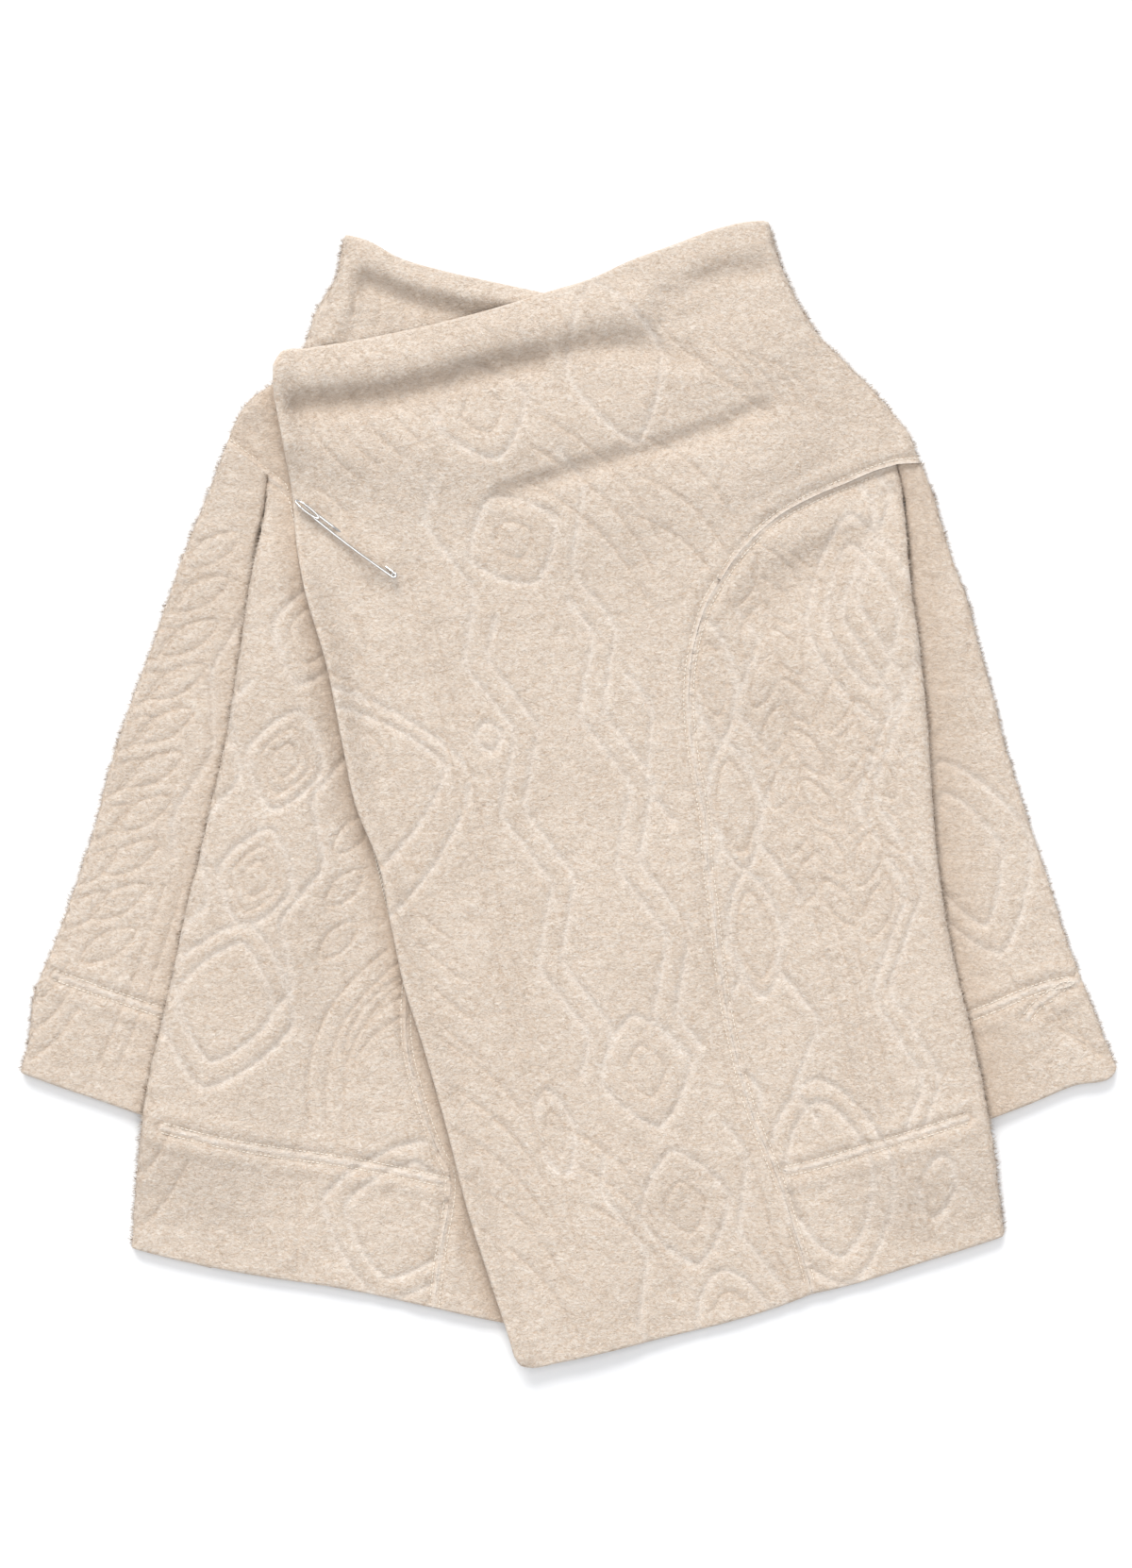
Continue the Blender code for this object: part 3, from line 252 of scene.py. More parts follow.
SLEEVE_LEFT_INNER = [
    (226, 224), (230.3, 207), (232.3, 183.5), (234.5, 150), (231, 115), (221, 75), (211, 30),
    (205, -10), (204, -50), (207, -90), (214, -130), (223, -170), (233, -208), (243, -241),
]
SLEEVE_RIGHT_OUTER = [
    (-233, 239), (-239, 222), (-249, 196.5), (-259, 172), (-271, 139), (-283.5, 102),
    (-296.5, 67), (-309, 30), (-328, -39), (-351, -104), (-366, -143), (-368.5, -169),
    (-374.5, -192),
]
SLEEVE_RIGHT_CUFF = [(-374.5, -192), (-341, -204), (-326, -209), (-290, -221.5), (-245, -236)]
SLEEVE_RIGHT_INNER = [
    (-205, 217), (-207.8, 191.5), (-212.4, 168.5), (-213, 145), (-207, 110), (-201, 75),
    (-198, 30), (-200, -10), (-205, -50), (-211, -90), (-218, -130), (-228, -170),
    (-237, -208), (-245, -236),
]
SIDE_UNDER_FOLD = [
    (-205, 217), (-207, 191.5), (-211.5, 168.5), (-216.5, 142), (-222, 105), (-226, 79),
    (-233, 35), (-242.5, -6), (-251.5, -46), (-259, -75), (-265, -104), (-273, -141),
    (-281.5, -176), (-289, -215), (-292.5, -244), (-296, -280), (-298.5, -312),
]
SIDE_UNDER_HEM = [(-298.5, -312), (-272, -319), (-218, -330), (-153, -340), (-91, -353)]
UNDER_HEM = [(-91, -353), (-46, -363), (5, -372)]
RAGLAN_UNDER = [
    (-233, 239), (-216.5, 226.5), (-205, 217), (-194, 208), (-176, 194), (-153.5, 180),
    (-131, 162), (-112.5, 143), (-98, 120), (-88.5, 91), (-84.5, 61), (-88, 15), (-94, -26),
    (-100, -72), (-106, -111), (-110, -143), (-109, -176), (-101, -208), (-90, -241),
    (-80, -262), (-81, -283), (-85, -306), (-88.5, -330), (-91, -353),
]
RAGLAN_UNDER_SPLIT = 2
UNDER_EDGE = [(5, -372), (40, -190), (90, 70), (129, 293)]
UNDER_COLLAR = [
    (129, 293), (100, 310), (60, 324), (25, 333), (-14, 341), (-51, 349), (-86.5, 357),
    (-116, 366), (-136, 377), (-152, 382),
]
SHOULDER_UNDER = [
    (-152, 382), (-155, 367), (-158, 353), (-167, 338), (-174, 323), (-179.5, 306.5),
    (-190.5, 291), (-201.5, 280), (-216.5, 269), (-226, 256), (-233, 239),
]
BACK_COLLAR = [(113, 372), (60, 343), (0, 322), (-45, 326), (-90, 343), (-126, 366)]
BACK_HEM = [(-231, -322), (-120, -338), (0, -345), (120, -338), (229, -318)]

# The lower part of each sleeve, which lifts the body that lies over it.
LIFT_LEFT_TOP = 150.0
LIFT_RIGHT_TOP = 140.0

# ---------------------------------------------------------------- soft rolls and hollows
# A row is a roll: its half width, its height and the points of its crest.

UPPER_ROLLS = [
    (26, 7.2, [(-190, 284), (-130, 290), (-95, 297), (-65, 306), (-20, 316), (19, 326), (46, 330)]),
    (20, 2.4, [(58, 350), (90, 362), (126, 374)]),
    (15, -6.0, [(-182, 262), (-130, 268), (-95, 275), (-65, 284), (-20, 294)]),
    (15, -3.0, [(2, 300), (24, 303), (58, 301), (84, 296)]),
    (44, 4.0, [(-90, 226), (-40, 239), (20, 257), (80, 279), (125, 303)]),
    (12, -3.6, [(-44, 203), (-20, 210), (19, 223), (64, 235), (104, 248), (133, 262)]),
    (14, -2.4, [(90, 348), (110, 354), (133, 356)]),
    (40, 2.5, [(-10, 176), (40, 190), (100, 208), (150, 230)]),
    (30, 2.0, [(-160, 225), (-130, 235), (-100, 246)]),
]
UNDER_ROLLS = [
    (16, 4.4, [(-139, 367), (-120, 356), (-95, 347), (-70, 341), (-50, 337), (-20, 331)]),
    (14, -3.5, [(-136, 346), (-112, 336), (-75, 327), (-45, 325), (-30, 324)]),
    (13, 3.0, [(-146, 356), (-152, 332), (-162, 312)]),
    (34, -4.6, [(-222, 240), (-208, 214), (-200, 180)]),
]
SIDE_UPPER_ROLLS = [
    (20, 2.6, [(150, 168), (180, 184), (205, 192)]),
    (24, -1.8, [(128, 124), (150, 142), (172, 158), (190, 170)]),
    (40, 2.4, [(150, 80), (170, 100), (200, 120)]),
]
ROLLS = {
    "front_upper": UPPER_ROLLS,
    "front_under": UNDER_ROLLS,
    "side_upper": SIDE_UPPER_ROLLS,
}
# Painted shade beside an edge that lies on the cloth, where the edge's shadow falls.
# A row has the half width, the share and the edge.
PAINTED_EDGE_SHADE = {
    "front_under": [(20, 1.3, FREE_EDGE)],
    "side_under": [(20, 1.3, FREE_EDGE)],
    "sleeve_left": [(44, 1.0, SIDE_UPPER_FOLD)],
    "sleeve_right": [(30, 0.5, SIDE_UNDER_FOLD)],
}
# Beside the free edge the cloth below it is pressed down.
EDGE_HOLLOW = (20.0, 2.8)

# ---------------------------------------------------------------- cable pattern
# The pattern lies along each piece's grain. A grain has a start point and an angle in
# degrees: "down" runs along it and "across" to its right, seen from above.

GRAINS = {
    "front_upper": (-200.8, 296.7, 13.7),
    "front_under": (-190.0, 380.0, -10.0),
    "side_under": (-190.0, 190.0, -15.5),
    "side_upper": (150.0, 190.0, 9.0),
    "sleeve_right": (-240.0, 230.0, -18.5),
    "sleeve_left": (245.0, 220.0, 17.5),
}

MOTIF_SIDES = 40
DIAMOND = 1.35  # roundness of a motif: 1 is a straight-sided diamond, 2 an ellipse
LEAF = 1.6

# piece, down, across, length down, width across, extra turn, size of each inner ring
DIAMONDS = [
    ("front_upper", 70, 130, 68, 64, 6, (0.45,)),
    ("front_upper", 59, 226, 112, 66, 2, ()),
    ("front_upper", 160, 130, 66, 64, 14, (0.42,)),
    ("front_upper", 534, 132, 78, 62, 0, (0.46,)),
    ("front_upper", 631, 136, 80, 62, 0, (0.46,)),
    ("front_upper", 300, -32, 128, 160, 0, ()),
    ("front_upper", 310, -32, 176, 192, 0, ()),
    ("side_under", 74, 38, 74, 54, 0, (0.6,)),
    ("side_under", 163, 43, 70, 52, 0, (0.66, 0.36)),
    ("side_under", 246, 45, 70, 52, 0, (0.66, 0.36)),
    ("side_under", 333, 48, 84, 66, 0, ()),
    ("side_under", 335, 48, 116, 96, 0, ()),
    ("side_under", 445, 204, 112, 112, 0, ()),
    ("side_under", 445, 204, 82, 80, 0, ()),
    ("side_upper", 78, 40, 102, 50, 0, ()),
    ("side_upper", 80, 42, 146, 80, 0, ()),
    ("sleeve_left", 262, -54, 96, 52, 0, ()),
    ("sleeve_left", 262, -50, 138, 86, 0, ()),
]
OVALS = [
    ("side_upper", 104, -68, 84, 32, 0, (0.6,)),
    ("side_upper", 192, -66, 88, 36, 0, (0.72,)),
    ("side_upper", 281, -66, 86, 36, 0, (0.7,)),
    ("side_upper", 454, -42, 108, 60, 0, ()),
    ("side_upper", 456, -42, 142, 88, 0, ()),
    ("side_upper", 470, 30, 44, 24, -20, ()),
    ("front_upper", 716, 150, 74, 50, 0, (0.6,)),
    ("front_upper", 287, 82, 20, 16, 0, ()),
    ("front_upper", 560, 62, 60, 26, 0, (0.5,)),
]
# piece, first down, axis across at the start and end, mean half gap, swing, bend length,
# how many bends, and how far each further line lies outside the first one
OGEES = [
    ("front_upper", 108, 130, 130, 31, 10, 54, 2, (14,)),
    ("front_upper", 209, 131, 131, 26, 10.5, 53, 6, (0, 16)),
    ("front_upper", 582, 134, 138, 30, 9, 49, 3, (12,)),
    ("side_under", 118, 41, 45, 24, 9, 43, 5, (11,)),
    ("side_upper", 60, -67, -67, 14, 11, 44, 8, (9,)),
]
# piece, start down, start across, end down, end across, swing, how many bends
WAVES = [
    ("front_upper", 268, 184, 372, 190, 9, 2),
    ("side_upper", -34, 60, 430, 26, 14, 7),
    ("side_upper", -24, 48, 430, 14, 14, 7),
    ("sleeve_right", 60, 46, 270, 60, 7, 4),
]
# piece, start down, start across, end down, end across
RIBS = [
    ("front_upper", 158, 54, 640, 47),
    ("front_upper", 158, 64, 640, 58),
    ("front_upper", 430, 180, 700, 190),
    ("front_upper", 430, 192, 700, 203),
    ("front_upper", 400, 204, 560, 214),
    ("side_under", 418, 121, 497, 143),
    ("side_upper", 277, -24, 415, -15),
    ("side_upper", 270, -12, 415, -2),
    ("side_upper", 300, 0, 410, 8),
    ("side_upper", 436, 6, 510, 8),
    ("side_upper", 440, 18, 510, 20),
    ("sleeve_right", 287, 72, 420, 69),
    ("sleeve_right", 290, 60, 420, 56),
]
# piece, first down, first across, run down, run across, step down, step across, how many, bow
STRANDS = [
    ("front_upper", 20, 9, 72, 26, -3, 17, 4, -7),
    ("front_upper", 24, 74, 40, 14, 0, 15, 2, -4),
    ("front_upper", 92, 6, 50, 26, 15, -2, 3, 5),
    ("front_upper", 155, -15, 52, 31, 30, -1, 4, 8),
    ("front_upper", 336, -15, 78, 38, 29, 1, 4, -6),
    ("front_upper", 478, 0, 90, 52, 32, -2, 5, 8),
    ("front_upper", 560, 72, 76, 42, 28, 2, 3, 9),
    ("front_upper", 19, 148, 28, 3, -1, 16, 5, 2),
    ("front_upper", 80, 166, 100, 60, 22, -8, 3, 10),
    ("front_upper", 112, 232, 66, 46, 26, -8, 3, 8),
    ("front_upper", 60, 292, 42, 24, 8, 13, 4, 4),
    ("front_upper", 40, 262, 40, 30, 20, 16, 3, -4),
    ("front_under", 18, 30, 24, 4, 4, 18, 5, 2),
    ("front_under", 60, -14, 44, -10, 6, 12, 4, 4),
    ("side_under", 269, 144, 129, -20, 2, 13, 3, -20),
    ("side_under", 286, 158, 60, -24, 12, 4, 3, -8),
    ("side_under", 404, 20, 60, -24, 20, 16, 3, 4),
    ("side_upper", 16, -24, 34, 26, 6, 16, 2, 4),
    ("sleeve_left", 346, -50, 60, 40, 12, 10, 4, -8),
    ("sleeve_left", 40, 0, 90, -10, 4, 12, 2, 6),
    ("sleeve_right", 346, 6, 44, -20, 14, 8, 4, 4),
]
# piece, first down, first across, step down, step across, how many, length, width, turn
LEAVES = [
    ("side_upper", 40, -36, 35, 1.8, 7, 40, 17, -30),
    ("side_upper", 58, -17, 35, 1.8, 7, 38, 16, 26),
    ("side_upper", 132, 14, 36, 1.4, 5, 42, 18, -26),
    ("side_upper", 150, 33, 36, 1.4, 4, 38, 16, 24),
    ("sleeve_right", 62, 18, 31, 2, 10, 44, 17, -42),
    ("sleeve_right", 76, -4, 31, 2, 9, 40, 15, -34),
    ("sleeve_left", 80, 12, 36, 2, 4, 36, 15, 38),
    ("side_under", 200, 100, 36, 5, 3, 34, 16, -30),
]

# ---------------------------------------------------------------- kilt pin

WIRE = 1.8
WIRE_GAP = 0.3  # between two wires that lie on each other
WIRE_ROUNDNESS = 6
PIN_LIFT = 0.6  # between the pin's bar and the cloth below it
PIN_CLASP_END = (-182.8, 195.3)
PIN_COIL = (-118.7, 146.5)
PIN_SPREAD = 2.8  # between the bar and the arm
PIN_BOW = 1.0  # how far the bar bows away from the arm
WIRE_STEP = 4.0  # between points of the arm
BAR_POINTS = 12
HEIGHT_POINTS = (9, 5)  # on the bar and on the arm, where the cloth's height is taken
TURN_POINTS = 12  # in one turn of the coil
PIN_DEPTH = 3.1  # the hidden arm's middle below the cloth's top, without its roll
COIL_TURNS = 1.5
CLASP_LENGTH = 20.0
CLASP_MIDDLE = 6.0  # of the clasp, from the pin's tip
CLASP_WIRE = 1.4
CLASP_POINTS = 20
CLASP_SPARE = 0.4  # of the clasp's width beyond the wires' middles
CLASP_DIP = 2.6  # of the clasp's end in front of the tips
TIP_BEND = 5.0  # the length that it dips over
ARM_BEND = 3.0  # length of the arm's bends at a hole
HOLE_LENGTH = 10.0
HOLES_ALONG = (0.40, 0.90)  # where the arm goes through the cloth, from clasp to coil

# ---------------------------------------------------------------- curves


def curve(rows, step=CURVE_STEP):
    """A smooth curve through a table's points, as points about one step apart."""
    points = np.array(rows, float)
    gaps = np.linalg.norm(np.diff(points, axis=0), axis=1)
    slopes = np.diff(points, axis=0) / gaps[:, None]
    tangents = np.vstack([slopes[:1], slopes, slopes[-1:]])
    before, after = np.r_[gaps[:1], gaps], np.r_[gaps, gaps[-1:]]
    tangent = (tangents[:-1] * after[:, None] + tangents[1:] * before[:, None]) / (before + after)[:, None]
    found = [points[:1]]
    for i, gap in enumerate(gaps):
        count = max(1, round(gap / step))
        t = (np.arange(1, count + 1) / count)[:, None]
        found.append(
            (2 * t**3 - 3 * t**2 + 1) * points[i]
            + (t**3 - 2 * t**2 + t) * gap * tangent[i]
            + (3 * t**2 - 2 * t**3) * points[i + 1]
            + (t**3 - t**2) * gap * tangent[i + 1]
        )
    return np.vstack(found)


def length_of(line):
    return float(np.linalg.norm(np.diff(line, axis=0), axis=1).sum())


def spread(line, count):
    """The same line as count equal stretches."""
    far = np.r_[0, np.cumsum(np.linalg.norm(np.diff(line, axis=0), axis=1))]
    at = np.linspace(0, far[-1], count + 1)
    return np.column_stack([np.interp(at, far, line[:, k]) for k in range(line.shape[1])])


def stepped_line(line, step):
    """The same line with points about one step apart."""
    return spread(line, max(1, round(length_of(line) / step)))


def inward(line):
    """Unit normals to the left of travel, inwards on an outline drawn anticlockwise."""
    ahead = np.diff(line, axis=0)
    ahead /= np.linalg.norm(ahead, axis=1)[:, None]
    middle = ahead[:-1] + ahead[1:]
    along = np.vstack([ahead[:1], middle, ahead[-1:]])
    along /= np.linalg.norm(along, axis=1)[:, None]
    return np.column_stack([-along[:, 1], along[:, 0]])


def crossing(p, d, q, e):
    """Where the line from p along d meets the line from q along e."""
    turn = d[0] * e[1] - d[1] * e[0]
    if abs(turn) < PARALLEL * np.linalg.norm(d) * np.linalg.norm(e):
        return (p + q) / 2
    return p + d * (((q - p)[0] * e[1] - (q - p)[1] * e[0]) / turn)


def between(line, start, end):
    """The line cut or stretched so that it runs from start to end."""
    first, last = line[1] - line[0], line[-1] - line[-2]
    keep = [p for p in line[1:-1] if (p - start) @ first > 0 and (end - p) @ last > 0]
    return np.array([start, *keep, end])


def closed(ring):
    return np.vstack([ring, ring[:1]])


def distance(points, line, reach=FAR):
    """Each point's distance to a line of points, or reach where it is further away."""
    found = np.full(len(points), float(reach))
    for first in range(0, len(line) - 1, CHUNK):
        part = line[first : first + CHUNK + 1]
        low, high = part.min(axis=0) - reach, part.max(axis=0) + reach
        near = np.flatnonzero(np.all((points >= low) & (points <= high), axis=1))
        own, best = points[near], found[near]
        for a, b in zip(part[:-1], part[1:]):
            run = b - a
            t = np.clip((own - a) @ run / max(run @ run, TINY), 0, 1)
            away = own - a - t[:, None] * run
            best = np.minimum(best, np.sqrt(away[:, 0] ** 2 + away[:, 1] ** 2))
        found[near] = best
    return found


def inside(points, outline):
    """Whether each point is inside a closed outline."""
    order = np.argsort(points[:, 1])
    x, y = points[order, 0], points[order, 1]
    found = np.zeros(len(points), bool)
    for (x0, y0), (x1, y1) in zip(outline, np.roll(outline, -1, axis=0)):
        first, last = np.searchsorted(y, sorted((y0, y1)))
        if last > first:
            part = slice(first, last)
            found[part] ^= x[part] < (x1 - x0) * (y[part] - y0) / (y1 - y0) + x0
    unsorted = np.empty_like(found)
    unsorted[order] = found
    return unsorted


def smoothstep(t):
    t = np.clip(t, 0, 1)
    return t * t * (3 - 2 * t)


def bell(t):
    """1 at 0, falling softly to 0 at 1."""
    return 0.5 + 0.5 * np.cos(math.pi * np.clip(np.abs(t), 0, 1))


def ridge(points, line, half_width):
    """1 on a line, falling softly to 0 at half_width from it."""
    return bell(distance(points, line, half_width) / half_width)


def noise(points, size, seed):
    """Smooth value noise from -1 to 1, with blobs about the given size, in 2 or 3 dimensions."""
    table = np.random.default_rng(seed).uniform(-1, 1, NOISE_TABLE)
    spots = points / size
    low = np.floor(spots).astype(np.int64)
    part = spots - low
    part = part * part * (3 - 2 * part)
    found = np.zeros(len(points))
    for corner in range(2 ** points.shape[1]):
        share, place = np.ones(len(points)), np.zeros(len(points), np.int64)
        for axis in range(points.shape[1]):
            step = corner >> axis & 1
            share = share * (part[:, axis] if step else 1 - part[:, axis])
            place = place * NOISE_STRIDE + low[:, axis] + step
        found += share * table[place % NOISE_TABLE]
    return found


# ---------------------------------------------------------------- how high the cloth lies


def below(rows, height):
    """The part of a curve that lies below a height in plan."""
    line = curve(rows, CREST_STEP)
    return line[line[:, 1] < height]


def lifting_outline(inner, cuff, outer, top, cuff_from_outer):
    cuff_line = curve(cuff, CREST_STEP)
    if cuff_from_outer:
        cuff_line = cuff_line[::-1]
    return np.vstack([below(inner, top), cuff_line[1:-1], below(outer, top)[::-1]])


LIFTING = [
    lifting_outline(SLEEVE_LEFT_INNER, SLEEVE_LEFT_CUFF, SLEEVE_LEFT_OUTER, LIFT_LEFT_TOP, False),
    lifting_outline(SLEEVE_RIGHT_INNER, SLEEVE_RIGHT_CUFF, SLEEVE_RIGHT_OUTER, LIFT_RIGHT_TOP, True),
]


def lift(points):
    """Height of the body's underside: it lies on the surface, or on a hidden sleeve."""
    reach = LIFT_MARGIN + DRAPE
    away = np.full(len(points), reach)
    for outline in LIFTING:
        found = distance(points, closed(outline), reach)
        found[inside(points, outline)] = 0
        away = np.minimum(away, found)
    return SLEEVE_LIFT * (1 - smoothstep((away - LIFT_MARGIN) / DRAPE))


def over_under(points):
    """1 where the upper front lies on the under front, falling to 0 beyond its hidden edge."""
    start, end = np.array(UNDER_EDGE[0], float), np.array(UNDER_EDGE[-1], float)
    along = (end - start) / np.linalg.norm(end - start)
    beyond = (points - start) @ np.array([along[1], -along[0]])
    return 1 - smoothstep((beyond - STEP_MARGIN) / STEP_DRAPE)


def calm(points):
    """0 at the pin, where the cloth lies as in the part's source, and 1 away from it."""
    pin = np.array([PIN_CLASP_END, PIN_COIL])
    return smoothstep(distance(points, pin, PIN_CALM) / PIN_CALM - PIN_CALM_START)


def swell(points):
    """Low soft waves that all the body's layers share."""
    wide = 0.5 + 0.5 * noise(points, SWELL_SIZES[0], SWELL_SEEDS[0])
    narrow = 0.5 + 0.5 * noise(points, SWELL_SIZES[1], SWELL_SEEDS[1])
    return calm(points) * (SWELL_HEIGHTS[0] * wide + SWELL_HEIGHTS[1] * narrow)


def rolls(points, table):
    height = np.zeros(len(points))
    for half_width, rise, crest in table:
        height += rise * ridge(points, curve(crest, CREST_STEP), half_width)
    return height


def seam_profile(away):
    """A sewn seam in section: a band between two rows of stitches in their valleys, with the
    plush swelling beyond them."""
    valley = bell((away - STITCH_ROW) / STITCH_VALLEY)
    pillow = bell((away - PILLOW_MIDDLE) / PILLOW_WIDTH)
    band = bell(away / STITCH_ROW)
    return STITCH_PILLOW * pillow - STITCH_DEPTH * valley + STITCH_BAND * band


def top_of_back(points):
    return lift(points) + WALL


def level(points):
    return lift(points) + PITCH + WALL + swell(points)


def top_of_under(points):
    hollow = ridge(points, curve(FREE_EDGE, CREST_STEP), EDGE_HOLLOW[0])
    return level(points) - EDGE_HOLLOW[1] * hollow * calm(points)


def top_of_upper(points):
    return level(points) + PITCH * over_under(points)


def top_of_front_under(points):
    return top_of_under(points) + rolls(points, UNDER_ROLLS)


def top_of_front_upper(points):
    pin_roll = PIN_ROLL[1] * ridge(points, pin_hidden_line(), PIN_ROLL[0])
    edge_roll = EDGE_ROLL[1] * ridge(points, curve(FREE_EDGE, CREST_STEP), EDGE_ROLL[0])
    yoke = YOKE_RISE * smoothstep((points[:, 1] - YOKE_FROM) / YOKE_SLOPE)
    soft = rolls(points, UPPER_ROLLS) + yoke + edge_roll
    return top_of_upper(points) + pin_roll + calm(points) * soft


def top_of_side_upper(points):
    return top_of_upper(points) + rolls(points, SIDE_UPPER_ROLLS)


def top_of_sleeve(points):
    return SLEEVE_THICKNESS + SLEEVE_SWELL * swell(points)


# ---------------------------------------------------------------- pattern lines


def from_grain(piece, down, across):
    """A point given along and across a piece's grain, in plan."""
    x, y, angle = GRAINS[piece]
    a = math.radians(angle)
    return np.array([
        x + down * math.sin(a) + across * math.cos(a),
        y - down * math.cos(a) + across * math.sin(a),
    ])


def closed_motif(piece, down, across, length, width, turn, roundness):
    """A ring of points round a motif's middle."""
    t = math.radians(turn)
    ring = []
    for k in range(MOTIF_SIDES + 1):
        a = 2 * math.pi * k / MOTIF_SIDES
        u = length / 2 * math.copysign(abs(math.cos(a)) ** (2 / roundness), math.cos(a))
        v = width / 2 * math.copysign(abs(math.sin(a)) ** (2 / roundness), math.sin(a))
        ring.append(from_grain(
            piece,
            down + u * math.cos(t) - v * math.sin(t),
            across + u * math.sin(t) + v * math.cos(t),
        ))
    return np.array(ring)


def bowed(piece, down, across, run_down, run_across, bow):
    """A soft arc along the grain, that stands a bow's height off its chord."""
    run = math.hypot(run_down, run_across)
    t = np.linspace(0, 1, STRAND_POINTS)
    off = bow * np.sin(math.pi * t)
    return np.array([
        from_grain(
            piece,
            down + run_down * part - run_across / run * o,
            across + run_across * part + run_down / run * o,
        )
        for part, o in zip(t, off)
    ])


def bend_shape(t):
    """A wave with straight flanks and round turns, one bend for each step of 1 in t."""
    return (np.sin(math.pi * t) - np.sin(3 * math.pi * t) / BEND_ROUND) * BEND_HEIGHT


def ogee(piece, down, axis, end_axis, half_gap, swing, bend, bends, outside):
    """Two lines on both sides of an axis, that part and meet again."""
    t = np.linspace(0, bends, bends * WAVE_POINTS + 1)
    middle = axis + (end_axis - axis) * t / bends
    gap = half_gap + outside + swing * bend_shape(t)
    return [
        np.array([from_grain(piece, down + k * bend, m + side * g) for k, m, g in zip(t, middle, gap)])
        for side in (-1, 1)
    ]


def rows_of(table, piece):
    """A piece's own rows, without its name."""
    return [row[1:] for row in table if row[0] == piece]


def pattern_lines(piece):
    """Lines pressed into a piece: wide channels, and thin creases."""
    channels, creases = [], []
    for table, roundness in ((DIAMONDS, DIAMOND), (OVALS, LEAF)):
        for down, across, length, width, turn, rings in rows_of(table, piece):
            place = (piece, down, across)
            channels.append(closed_motif(*place, length, width, turn, roundness))
            for part in rings:
                creases.append(closed_motif(*place, part * length, part * width, turn, roundness))
    for *row, outsides in rows_of(OGEES, piece):
        for outside in outsides:
            channels += ogee(piece, *row, outside)
    for down, across, end_down, end_across, swing, bends in rows_of(WAVES, piece):
        t = np.linspace(0, 1, bends * WAVE_POINTS + 1)
        channels.append(np.array([
            from_grain(
                piece,
                down + (end_down - down) * part,
                across + (end_across - across) * part + swing * bend_shape(part * bends),
            )
            for part in t
        ]))
    for down, across, end_down, end_across in rows_of(RIBS, piece):
        creases.append(bowed(piece, down, across, end_down - down, end_across - across, RIB_BOW))
    for down, across, run_down, run_across, step_down, step_across, count, bow in rows_of(STRANDS, piece):
        for k in range(count):
            place = (down + k * step_down, across + k * step_across)
            creases.append(bowed(piece, *place, run_down, run_across, bow))
    for down, across, step_down, step_across, count, length, width, turn in rows_of(LEAVES, piece):
        for k in range(count):
            place = (down + k * step_down, across + k * step_across)
            creases.append(closed_motif(piece, *place, length, width, turn, LEAF))
    return channels, creases


def stitch_line(hem, depth=HEM_DEPTH):
    """The middle of the stitches that hold a turned-up hem, one hem depth inside the edge."""
    line = curve(hem, CREST_STEP)
    return line + depth * inward(line)


# ---------------------------------------------------------------- sheets of cloth


class Skin:
    """One surface of a piece: points found by key, and faces anticlockwise from outside."""

    def __init__(self):
        self.points = []
        self.index = {}
        self.faces = []

    def point(self, key, xyz):
        if key not in self.index:
            self.index[key] = len(self.points)
            self.points.append(tuple(float(c) for c in xyz))
        return self.index[key]

    def quad(self, a, b, c, d):
        self.faces += [(a, b, c), (a, c, d)]

    def open_edges(self):
        """Edges with one face, as key pairs in that face's order."""
        sides = set()
        for face in self.faces:
            sides.update(zip(face, face[1:] + face[:1]))
        keys = {i: key for key, i in self.index.items()}
        return [(keys[a], keys[b]) for a, b in sorted(sides) if (b, a) not in sides]


